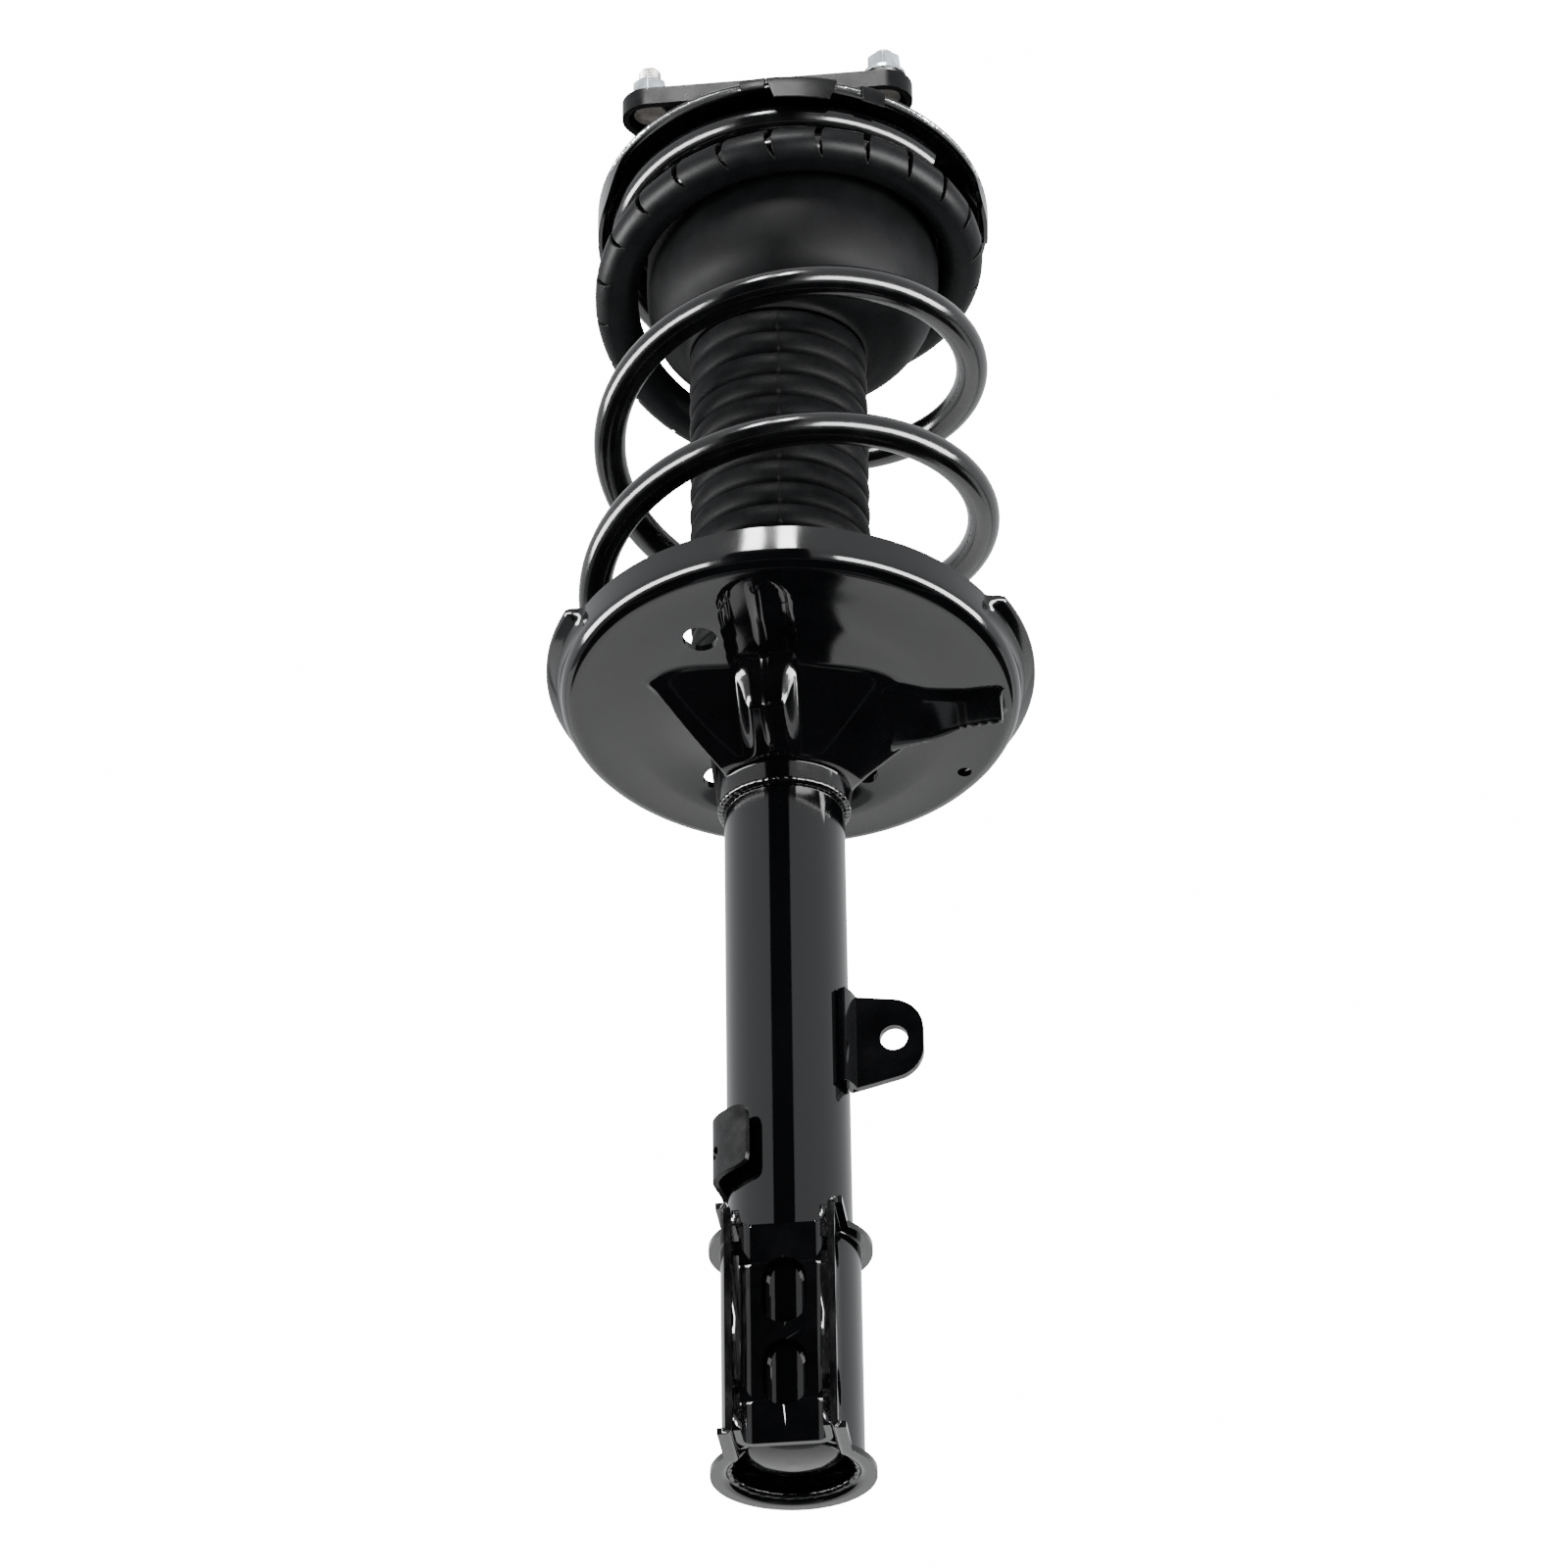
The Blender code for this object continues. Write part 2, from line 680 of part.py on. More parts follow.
def make_boot_dome():
    """The boot's rubber top: a bowl inside the spring, between the seat and the boot."""
    top = UPPER_RIM_Z - 1.0
    outer = (
        (1.0, DOME_R, top),
        (1.0, DOME_R, -78.0),
        (0.85, DOME_R - 2.5, -93.0),
        (0.55, 55.0, -107.0),
        (0.2, 44.0, -115.5),
        (0.0, BOOT_R, DOME_BOTTOM + 2.0),
        (0.0, BOOT_GROOVE_R, DOME_BOTTOM),
    )
    rubber = RUBBER + 0.4
    inner = (
        (0.0, BOOT_BORE_R, DOME_BOTTOM),
        (0.0, BOOT_R - rubber, DOME_BOTTOM + 4.5),
        (0.2, 42.5, -112.3),
        (0.55, 52.7, -104.5),
        (0.85, DOME_R - 5.3, -91.5),
        (1.0, DOME_R - rubber, -77.5),
        (1.0, DOME_R - rubber, top),
    )
    stations = [upper_ring(b, r, h) for b, r, h in outer + inner]
    loft("boot_dome", stations, "rubber", 28)


def make_boot():
    profile = []
    top = BOOT_TOP
    for i in range(BOOT_FOLDS):
        z = top - i * BOOT_PITCH
        profile.append((BOOT_GROOVE_R, z))
        profile.append((BOOT_R, z - BOOT_PITCH * 0.5))
    end = top - BOOT_FOLDS * BOOT_PITCH
    profile.append((BOOT_GROOVE_R, end))
    profile.append((BOOT_BORE_R, end))
    profile.append((BOOT_BORE_R, top))
    turned("dust_boot", profile, "boot_rubber", 20)


# ---------------------------------------------------------------- damper body

def make_tube():
    tube = [
        (21.2, TUBE_TOP),
        (TUBE_R - 1.5, TUBE_TOP),
        (TUBE_R, TUBE_TOP - 1.5),
        (TUBE_R, TUBE_BOTTOM + 4.0),
        (TUBE_BORE_R, TUBE_BOTTOM + 4.0),
        (TUBE_BORE_R, TUBE_TOP - 2.2),
        (21.2, TUBE_TOP - 2.2),
    ]
    turned("strut_tube", tube, "paint", 28)
    low = TUBE_BOTTOM
    cap = [
        (0.0, low + 2.2),
        (10.0, low + 2.6),
        (19.0, low + 5.2),
        (TUBE_BORE_R - GAP - 0.4, low + 9.5),
        (TUBE_BORE_R - GAP, low + 9.5),
        (TUBE_BORE_R - GAP, low + 4.5),
        (19.5, low + 1.8),
        (10.0, low - 0.6),
        (0.0, low - 1.0),
    ]
    turned("tube_bottom_cap", cap, "paint", 28)
    bump_cap = [
        (ROD_R + 2.5, TUBE_TOP + 2.3),
        (TUBE_R + 0.5, TUBE_TOP + 2.3),
        (TUBE_R + 2.0, TUBE_TOP + 0.8),
        (TUBE_R + 2.0, TUBE_TOP - 12.0),
        (TUBE_R + GAP, TUBE_TOP - 12.0),
        (TUBE_R + GAP, TUBE_TOP + GAP),
        (ROD_R + 2.5, TUBE_TOP + GAP),
    ]
    turned("tube_bump_cap", bump_cap, "steel", 24)
    seal_top = TUBE_TOP - 2.2 - GAP
    ring("rod_oil_seal", ROD_R + GAP, TUBE_BORE_R - GAP, seal_top, seal_top - 6.0, "rubber", 24)
    guide_top = seal_top - 6.0 - GAP
    guide = [
        (ROD_R + GAP, guide_top),
        (TUBE_BORE_R - GAP, guide_top),
        (TUBE_BORE_R - GAP, guide_top - 6.0),
        (CYLINDER_BORE_R - GAP, guide_top - 6.0),
        (CYLINDER_BORE_R - GAP, GUIDE_BOTTOM),
        (ROD_R + GAP, GUIDE_BOTTOM),
    ]
    turned("rod_guide", guide, "steel", 24)
    cylinder_top = guide_top - 6.0 - GAP
    ring("pressure_cylinder", CYLINDER_BORE_R, CYLINDER_R, cylinder_top, TUBE_BOTTOM + 18.0, "steel", 24)
    base_top = TUBE_BOTTOM + 18.0 - GAP
    base = [
        (0.0, base_top + 5.0),
        (CYLINDER_BORE_R - GAP, base_top + 5.0),
        (CYLINDER_BORE_R - GAP, base_top),
        (CYLINDER_R, base_top),
        (CYLINDER_R - 4.0, base_top - 7.5),
        (0.0, base_top - 7.5),
    ]
    turned("base_valve", base, "steel", 24)


def flare(angle):
    """Outward lip of the lower seat's wall, around the rear only."""
    degrees = math.degrees(angle) % 360.0
    if degrees > 270.0:
        return LOWER_LIP * ease((degrees - LIP_FIRST_ANGLE) / 6.0)
    return LOWER_LIP * (1.0 - ease((degrees - LIP_LAST_ANGLE) / 6.0))


def lower_ring(blend, radius, height, swell=None):
    return tilted_ring(LOWER_X, LOWER_Y, LOWER_TILT, blend, radius, height, swell)


def make_lower_seat():
    z = LOWER_FLOOR_Z
    corner = LOWER_CORNER_R
    sheet = SEAT_SHEET
    bore = TUBE_R + GAP
    rim = z + LOWER_WALL
    stations = [
        lower_ring(0.0, bore, NECK_BOTTOM),
        lower_ring(0.0, bore + sheet, NECK_BOTTOM),
        lower_ring(0.0, bore + sheet, NECK_BOTTOM + 6.0),
        lower_ring(0.15, 37.0, -342.0),
        lower_ring(0.6, 62.0, -331.0),
        lower_ring(1.0, corner - 9.0, z - 1.5),
        lower_ring(1.0, corner - 2.5, z + 1.0),
        lower_ring(1.0, corner, z + 5.5),
        lower_ring(1.0, corner, rim, flare),
        lower_ring(1.0, corner - sheet, rim, flare),
        lower_ring(1.0, corner - sheet, z + 6.5),
        lower_ring(1.0, corner - 5.0, z + 3.4),
        lower_ring(1.0, corner - 10.0, z + 1.5),
        lower_ring(0.6, 62.0, -328.0),
        lower_ring(0.15, 38.0, -339.0),
        lower_ring(0.0, bore, NECK_BOTTOM + 8.0),
    ]
    seat = loft("lower_spring_seat", stations, "paint", 44)
    holes = (
        (-26.0, -77.4, 7.2),
        (75.0, 24.5, 3.0),
        (-29.4, 20.0, 5.6),
        (30.0, 24.0, 5.6),
    )
    for i, (x, y, r) in enumerate(holes):
        combine(seat, cylinder("drain_cutter_" + str(i), r, 60.0, (x, y, -325.0), segments=16), "DIFFERENCE")
    smooth(seat)
    pad_z = COIL_LOWER_SEAT - WIRE_R - GAP
    pad = [
        tilted_ring(LOWER_X, LOWER_Y, SPRING_TILT, 1.0, r, h)
        for r, h in ((78.0, pad_z), (88.0, pad_z), (88.0, pad_z - 2.0), (78.0, pad_z - 2.0))
    ]
    loft("lower_spring_pad", pad, "rubber", 32)


# ---------------------------------------------------------------- brackets

def bracket_path(flared):
    """Plan outline of the wrap bracket's inner face, from ear tip to ear tip."""
    radius = TUBE_R + GAP + flared
    ear = EAR_X + flared
    meet = math.degrees(math.asin(min(ear / radius, 1.0)))
    points = [(-ear, -EAR_REACH), (-ear, -32.0)]
    points += arc(0.0, 0.0, radius, 270.0 - meet, -90.0 + meet, 22)
    points += [(ear, -32.0), (ear, -EAR_REACH)]
    return points


def sheet_wall(name, levels, sheet, slot):
    """A wall of sheet through several plan outlines, highest first; it thickens outwards."""
    shape = bmesh.new()
    rows = []
    for height, outline in levels:
        rows.append([shape.verts.new((x * MM, y * MM, height * MM)) for x, y in outline])
    for lower, upper in zip(rows, rows[1:]):
        for i in range(len(lower) - 1):
            shape.faces.new((lower[i], lower[i + 1], upper[i + 1], upper[i]))
    wall = from_bmesh(name, shape, slot, closed=False)
    thick = wall.modifiers.new("Sheet", "SOLIDIFY")
    thick.thickness = sheet * MM
    thick.offset = 1.0
    thick.use_even_offset = True
    return bake(wall)


def make_knuckle_bracket():
    levels = [
        (BRACKET_TOP, bracket_path(LIP_FLARE)),
        (BRACKET_TOP - 4.0, bracket_path(0.0)),
        (BRACKET_BOTTOM + 5.0, bracket_path(0.0)),
        (BRACKET_BOTTOM, bracket_path(LIP_FLARE)),
    ]
    wrap = sheet_wall("knuckle_bracket", levels, BRACKET_SHEET, "paint")
    inner_x = EAR_X - GAP - BRACKET_SHEET
    web = [
        (-inner_x, -FLANGE_REACH),
        (-inner_x, -WEB_Y - BRACKET_SHEET - 4.0),
        (-inner_x + 1.2, -WEB_Y - BRACKET_SHEET - 1.2),
        (-inner_x + 4.0, -WEB_Y - BRACKET_SHEET),
        (inner_x - 4.0, -WEB_Y - BRACKET_SHEET),
        (inner_x - 1.2, -WEB_Y - BRACKET_SHEET - 1.2),
        (inner_x, -WEB_Y - BRACKET_SHEET - 4.0),
        (inner_x, -FLANGE_REACH),
    ]
    channel = sheet_wall("bracket_reinforcement", [(WEB_TOP, web), (WEB_BOTTOM, web)], BRACKET_SHEET, "paint")
    for i, z in enumerate(BOLT_HOLE_Z):
        for target in (wrap, channel):
            label = "bolt_cutter_" + str(i) + target.name
            cutter = cylinder(label, BOLT_HOLE_R, 120.0, (0.0, BOLT_HOLE_Y, z), axis="X", segments=20)
            combine(target, cutter, "DIFFERENCE")
    for i, z in enumerate(SLOT_Z):
        lift = SLOT_HALF_HEIGHT - SLOT_HALF_WIDTH
        outline = arc(0.0, z + lift, SLOT_HALF_WIDTH, 0.0, 180.0, 8)
        outline += arc(0.0, z - lift, SLOT_HALF_WIDTH, 180.0, 360.0, 8)
        cutter = extruded(
            "slot_cutter_" + str(i),
            outline,
            14.0,
            "steel",
            lambda u, v, t: Vector((u, -35.0 + t, v)) * MM,
        )
        combine(channel, cutter, "DIFFERENCE")
    smooth(wrap)
    smooth(channel)


def make_hose_bracket():
    root = TUBE_R + 1.2
    front = -2.0
    outline = [(root, HOSE_Z - HOSE_ROOT_HALF)]
    outline += arc(HOSE_HOLE_X, HOSE_Z, HOSE_END_R, -72.0, 72.0, 12)
    outline += [(root, HOSE_Z + HOSE_ROOT_HALF - 3.0)]
    plate = extruded(
        "hose_bracket",
        outline,
        HOSE_SHEET,
        "paint",
        lambda u, v, t: Vector((u, front - HOSE_SHEET + t, v)) * MM,
    )
    hole = cylinder("hose_cutter", HOSE_HOLE_R, 30.0, (HOSE_HOLE_X, 0.0, HOSE_Z), axis="Y", segments=24)
    combine(plate, hole, "DIFFERENCE")
    smooth(plate)


def make_sensor_bracket():
    turn = -math.pi + SENSOR_TURN
    facing = Vector((math.cos(turn), math.sin(turn), 0.0))
    middle = facing * (SENSOR_STANDOFF + SENSOR_SHEET / 2.0)
    plate = box(
        "sensor_bracket",
        (SENSOR_SHEET, SENSOR_WIDTH, SENSOR_HEIGHT),
        (middle.x, middle.y, SENSOR_Z),
        "paint",
        turn,
    )
    foot_depth = SENSOR_STANDOFF - TUBE_R + 1.0
    foot_at = facing * (TUBE_R + GAP + 0.7 + foot_depth / 2.0)
    foot = box("sensor_foot", (foot_depth, 6.0, SENSOR_HEIGHT - 14.0), (foot_at.x, foot_at.y, SENSOR_Z - 4.0), "paint", turn)
    combine(plate, foot, "UNION")
    tube = cylinder("sensor_tube_cutter", TUBE_R + GAP, 80.0, (0, 0, SENSOR_Z), segments=48)
    combine(plate, tube, "DIFFERENCE")
    across = Vector((-facing.y, facing.x, 0.0))
    hole_at = middle + across * 6.0 * -1.0
    hole = cylinder(
        "sensor_hole_cutter",
        SENSOR_HOLE_R,
        6.0,
        (hole_at.x, hole_at.y, SENSOR_Z + 2.0),
        axis="X",
        segments=16,
        turn=turn,
    )
    combine(plate, hole, "DIFFERENCE")
    smooth(plate)


clear_scene()
PARTS = collection("strut_assembly")
CUTTERS = collection("cutters")
make_mount_plate()
make_studs_and_nuts()
make_mount_core()
make_rod()
make_piston()
make_upper_seat()
make_isolator()
make_boot_dome()
make_boot()
make_spring()
make_tube()
make_lower_seat()
make_knuckle_bracket()
make_hose_bracket()
make_sensor_bracket()
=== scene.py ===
"""Looks scene for the strut assembly: detailed pieces, materials, studio and camera.

Lengths below are in millimetres in the CAD frame: origin at the centre of the
mount plate's top, +Z up along the damper, -Y towards the camera's side.
"""

import math
import random

import bmesh
import bpy
from mathutils import Matrix, Vector


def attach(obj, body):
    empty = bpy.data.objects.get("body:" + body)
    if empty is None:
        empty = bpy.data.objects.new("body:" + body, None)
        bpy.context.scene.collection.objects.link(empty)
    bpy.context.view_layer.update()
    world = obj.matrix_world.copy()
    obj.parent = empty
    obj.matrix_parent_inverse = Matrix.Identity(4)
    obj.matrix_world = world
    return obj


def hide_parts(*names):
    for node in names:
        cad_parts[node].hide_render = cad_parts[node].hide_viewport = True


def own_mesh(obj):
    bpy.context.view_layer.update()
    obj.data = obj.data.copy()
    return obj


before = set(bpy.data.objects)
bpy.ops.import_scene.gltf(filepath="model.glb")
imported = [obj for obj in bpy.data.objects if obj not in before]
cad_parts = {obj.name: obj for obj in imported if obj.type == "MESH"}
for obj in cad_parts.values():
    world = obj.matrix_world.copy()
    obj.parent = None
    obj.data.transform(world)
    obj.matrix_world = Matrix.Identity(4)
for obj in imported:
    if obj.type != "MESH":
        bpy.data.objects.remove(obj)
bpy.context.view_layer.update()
MM = 0.001
GAP = 0.3

# Shapes shared with the CAD
SPRING_X = 5.9
SPRING_CROSS_Z = -150.0
SPRING_TILT = math.radians(8.5)
LOWER_TILT = math.radians(7.6)
UPPER_RIM_R = 88.0
UPPER_RIM_Z = -36.8
WIRE_R = 7.0
COIL_PITCH = 88.4
COIL_FIRST_TURN = -2.16
COIL_LAST_TURN = 2.46
COIL_UPPER_SEAT = -47.5
COIL_LOWER_SEAT = -305.6
COIL_RADII = ((-2.2, 75.0), (-1.0, 75.6), (-0.6, 80.0), (0.0, 78.9), (1.0, 84.0), (2.5, 84.0))
END_COIL_RISE = 16.0
SLEEVE_FIRST_TURN = -1.45
SLEEVE_LAST_TURN = -0.58
DOME_R = 65.0
BOOT_R = 39.2
BOOT_GROOVE_R = 37.0
BOOT_TOP = -121.5
BOOT_PITCH = 11.2
BOOT_FOLDS = 15
TUBE_R = 25.5
LOWER_X = 5.9
LOWER_Y = -25.0
LOWER_CORNER_R = 97.3
LOWER_FLOOR_Z = -319.0
NECK_BOTTOM = -353.0
EAR_X = 19.4
EAR_REACH = 45.0
BRACKET_SHEET = 2.8
BRACKET_TOP = -558.0
BRACKET_BOTTOM = -659.0
BOLT_HOLE_R = 7.25
BOLT_HOLE_Y = -36.0
BOLT_HOLE_Z = (-578.0, -638.0)
SLOT_Z = (-590.5, -626.5)

STUD_CIRCLE_R = 61.0

# Details made only here
PAN_SHEET = 2.6
PAN_HOLE_Z = -325.0
# Radius, x, y and depth of cut
PAN_HOLES = (
    (7.2, -26.0, -77.4, 60.0), (3.0, 75.0, 24.5, 60.0), (6.2, -30.6, 20.5, 50.0), (6.2, 31.6, 24.0, 50.0),
)
WEB_FACE_Y = -28.8
SLOT_HALF_WIDTH = 8.9
SLOT_HALF_HEIGHT = 14.4
HOSE_SHEET = 3.6
HOSE_HOLE_R = 5.7
SENSOR_SHEET = 2.4
SENSOR_HOLE_R = 2.8

# Turns where the spring's wire is split into its top end coil, its free coils and its bottom end coil
SPRING_JOIN_TOP = -0.62
SPRING_JOIN_BOTTOM = 1.93

# Camera
LENS = 139.5
CAMERA_AZIMUTH = math.radians(6.0)
CAMERA_ELEVATION = math.radians(-30.5)
CAMERA_DISTANCE = 2573.0
CAMERA_AIM_Z = -340.0
CAMERA_ROLL = 0.0143


# ---------------------------------------------------------------- materials

def new_material(name):
    made = bpy.data.materials.new(name)
    made.use_nodes = True
    return made, made.node_tree.nodes, made.node_tree.links


def noise(nodes, links, scale, detail=4.0, roughness=0.5, stretch=(1.0, 1.0, 1.0)):
    place = nodes.new("ShaderNodeTexCoord")
    mapping = nodes.new("ShaderNodeMapping")
    mapping.inputs["Scale"].default_value = stretch
    texture = nodes.new("ShaderNodeTexNoise")
    texture.inputs["Scale"].default_value = scale
    texture.inputs["Detail"].default_value = detail
    texture.inputs["Roughness"].default_value = roughness
    links.new(place.outputs["Object"], mapping.inputs["Vector"])
    links.new(mapping.outputs["Vector"], texture.inputs["Vector"])
    return texture.outputs["Fac"]


def ramp(nodes, links, source, stops):
    made = nodes.new("ShaderNodeValToRGB")
    elements = made.color_ramp.elements
    while len(elements) < len(stops):
        elements.new(0.5)
    for element, (position, colour) in zip(elements, stops):
        element.position = position
        element.color = (*colour, 1.0)
    links.new(source, made.inputs["Fac"])
    return made.outputs["Color"]


def spread(nodes, links, source, low, high):
    """Map 0.3 to 0.7 of a noise to a range of values."""
    made = nodes.new("ShaderNodeMapRange")
    made.inputs["From Min"].default_value = 0.3
    made.inputs["From Max"].default_value = 0.7
    made.inputs["To Min"].default_value = low
    made.inputs["To Max"].default_value = high
    links.new(source, made.inputs["Value"])
    return made.outputs["Result"]


def bump(nodes, links, height, distance, strength, after=None):
    made = nodes.new("ShaderNodeBump")
    made.inputs["Distance"].default_value = distance
    made.inputs["Strength"].default_value = strength
    links.new(height, made.inputs["Height"])
    if after is not None:
        links.new(after, made.inputs["Normal"])
    return made.outputs["Normal"]


def surface(
    name, dark, light, rough, metallic=0.0, grain=700.0, grain_depth=0.00003, broad=14.0, broad_depth=0.0,
    specular=0.5, stretch=(1.0, 1.0, 1.0),
):
    """A finish with colour and roughness variation, a fine grain and a broad unevenness."""
    made, nodes, links = new_material(name)
    shader = nodes["Principled BSDF"]
    patch = noise(nodes, links, broad * 2.0, 5.0, 0.55, stretch)
    fine = noise(nodes, links, grain, 3.0, 0.6, stretch)
    wide = noise(nodes, links, broad, 2.0, 0.45, stretch)
    links.new(ramp(nodes, links, patch, ((0.35, dark), (0.68, light))), shader.inputs["Base Color"])
    links.new(spread(nodes, links, patch, rough[0], rough[1]), shader.inputs["Roughness"])
    shader.inputs["Metallic"].default_value = metallic
    shader.inputs["Specular IOR Level"].default_value = specular
    normal = bump(nodes, links, fine, grain_depth, 1.0)
    if broad_depth > 0.0:
        normal = bump(nodes, links, wide, broad_depth, 1.0, normal)
    links.new(normal, shader.inputs["Normal"])
    return made


def make_materials():
    black = (0.0035, 0.0036, 0.0045)
    MATS["paint"] = surface(
        "black_enamel", black, (0.006, 0.0062, 0.0075), (0.07, 0.13), grain=900.0, grain_depth=0.000006,
        broad=26.0, broad_depth=0.00012,
    )
    MATS["tube_paint"] = surface(
        "black_enamel_tube", black, (0.006, 0.0062, 0.0075), (0.05, 0.10), grain=900.0, grain_depth=0.000004,
        broad=9.0, broad_depth=0.00008, stretch=(1.0, 1.0, 0.25),
    )
    MATS["coil_paint"] = surface(
        "black_enamel_spring", (0.004, 0.0041, 0.005), (0.0075, 0.0077, 0.009), (0.12, 0.19), grain=1100.0,
        grain_depth=0.000012, broad=40.0, broad_depth=0.00006,
    )
    MATS["cast_paint"] = surface(
        "black_enamel_satin", (0.006, 0.006, 0.007), (0.011, 0.011, 0.012), (0.26, 0.40), grain=800.0,
        grain_depth=0.00003, broad=60.0, broad_depth=0.00006, specular=0.12,
    )
    MATS["weld"] = surface(
        "painted_weld", (0.003, 0.003, 0.004), (0.007, 0.007, 0.008), (0.07, 0.16), grain=520.0,
        grain_depth=0.00025, broad=160.0, broad_depth=0.0006,
    )
    MATS["rough_edge"] = surface(
        "painted_sheared_edge", (0.004, 0.004, 0.005), (0.012, 0.012, 0.013), (0.10, 0.22), grain=700.0,
        grain_depth=0.00022, broad=120.0, broad_depth=0.0003, stretch=(1.0, 1.0, 0.3),
    )
    MATS["rubber"] = surface(
        "black_rubber", (0.012, 0.0125, 0.0135), (0.017, 0.0175, 0.019), (0.36, 0.44), grain=1500.0,
        grain_depth=0.00002, broad=50.0, broad_depth=0.00003, specular=0.08,
    )
    MATS["dome_rubber"] = surface(
        "black_rubber_smooth", (0.009, 0.0092, 0.010), (0.014, 0.0142, 0.0155), (0.44, 0.56), grain=1300.0,
        grain_depth=0.00003, broad=30.0, broad_depth=0.00005, specular=0.05,
    )
    MATS["boot"] = surface(
        "bellows_rubber", (0.0095, 0.0098, 0.0105), (0.016, 0.0165, 0.0175), (0.42, 0.55), grain=1400.0,
        grain_depth=0.00003, broad=70.0, broad_depth=0.00004, specular=0.03,
    )
    MATS["zinc"] = surface(
        "zinc_plate", (0.50, 0.56, 0.60), (0.74, 0.80, 0.84), (0.20, 0.34), metallic=1.0, grain=600.0,
        grain_depth=0.00004, broad=90.0,
    )
    MATS["stud_zinc"] = surface(
        "yellowed_zinc", (0.36, 0.33, 0.29), (0.60, 0.57, 0.52), (0.28, 0.42), metallic=1.0, grain=600.0,
        grain_depth=0.00005, broad=110.0,
    )
    MATS["steel"] = surface(
        "turned_steel", (0.30, 0.30, 0.31), (0.44, 0.44, 0.45), (0.24, 0.38), metallic=1.0, grain=500.0,
        grain_depth=0.00003, broad=60.0, stretch=(1.0, 1.0, 6.0),
    )
    MATS["chrome"] = surface(
        "rod_chrome", (0.60, 0.60, 0.61), (0.68, 0.68, 0.69), (0.04, 0.08), metallic=1.0, grain=900.0,
        grain_depth=0.000003, broad=40.0,
    )
    MATS["foam"] = surface(
        "bump_foam", (0.40, 0.31, 0.12), (0.60, 0.50, 0.24), (0.70, 0.85), grain=380.0, grain_depth=0.0003,
        broad=60.0,
    )
    MATS["ptfe"] = surface(
        "piston_band", (0.07, 0.13, 0.11), (0.11, 0.18, 0.16), (0.40, 0.55), grain=700.0, grain_depth=0.00004,
        broad=60.0,
    )
    MATS["speckle"] = speckled_edge()


def speckled_edge():
    """Rolled sheet edge: black paint with bright flecks where it has worn through."""
    made, nodes, links = new_material("worn_rim_edge")
    shader = nodes["Principled BSDF"]
    flecks = noise(nodes, links, 620.0, 3.0, 0.7)
    wear = noise(nodes, links, 45.0, 3.0, 0.6)
    joined = nodes.new("ShaderNodeMath")
    joined.operation = "MULTIPLY"
    links.new(flecks, joined.inputs[0])
    links.new(wear, joined.inputs[1])
    mask = ramp(nodes, links, joined.outputs[0], ((0.285, (0.0, 0.0, 0.0)), (0.325, (1.0, 1.0, 1.0))))
    colour = nodes.new("ShaderNodeMix")
    colour.data_type = "RGBA"
    colour.inputs["A"].default_value = (0.012, 0.012, 0.013, 1.0)
    colour.inputs["B"].default_value = (0.62, 0.64, 0.66, 1.0)
    links.new(mask, colour.inputs["Factor"])
    links.new(colour.outputs["Result"], shader.inputs["Base Color"])
    links.new(mask, shader.inputs["Metallic"])
    links.new(spread(nodes, links, wear, 0.18, 0.34), shader.inputs["Roughness"])
    links.new(bump(nodes, links, flecks, 0.0002, 1.0), shader.inputs["Normal"])
    return made


# ---------------------------------------------------------------- mesh helpers

def add_mesh(name, vertices, faces, material, smooth_angle=40.0):
    mesh = bpy.data.meshes.new(name)
    mesh.from_pydata([Vector(v) * MM for v in vertices], [], faces)
    mesh.update()
    obj = bpy.data.objects.new(name, mesh)
    bpy.context.scene.collection.objects.link(obj)
    mesh.materials.append(MATS[material])
    mesh.shade_smooth()
    mesh.set_sharp_from_angle(angle=math.radians(smooth_angle))
    return obj


def tidy_normals(obj, smooth_angle=40.0):
    shape = bmesh.new()
    shape.from_mesh(obj.data)
    bmesh.ops.recalc_face_normals(shape, faces=shape.faces)
    shape.to_mesh(obj.data)
    shape.free()
    obj.data.shade_smooth()
    obj.data.set_sharp_from_angle(angle=math.radians(smooth_angle))


def apply_modifiers(obj):
    bpy.context.view_layer.update()
    graph = bpy.context.evaluated_depsgraph_get()
    mesh = bpy.data.meshes.new_from_object(obj.evaluated_get(graph))
    obj.modifiers.clear()
    obj.data = mesh


def skin(name, rings, material, close_chain=False, caps=False, smooth_angle=40.0):
    """Skin rings of points, each a closed loop with the same number of points."""
    count = len(rings[0])
    vertices = [p for r in rings for p in r]
    faces = []
    last = len(rings) if close_chain else len(rings) - 1
    for k in range(last):
        a = k * count
        b = ((k + 1) % len(rings)) * count
        for i in range(count):
            j = (i + 1) % count
            faces.append((a + i, a + j, b + j, b + i))
    if caps:
        faces.append(tuple(range(count)))
        faces.append(tuple((len(rings) - 1) * count + i for i in reversed(range(count))))
    obj = add_mesh(name, vertices, faces, material, smooth_angle)
    tidy_normals(obj, smooth_angle)
    return obj


def grid_faces(lines, count):
    """Quads between neighbouring lines of points, with count points to a line."""
    faces = []
    for k in range(lines - 1):
        for i in range(count - 1):
            a = k * count + i
            faces.append((a, a + 1, a + count + 1, a + count))
    return faces


def thicken(obj, sheet, offset, bevel=0.0):
    solid = obj.modifiers.new("Sheet", "SOLIDIFY")
    solid.thickness = sheet * MM
    solid.offset = offset
    solid.use_even_offset = True
    if bevel > 0.0:
        soften(obj, bevel)
    apply_modifiers(obj)


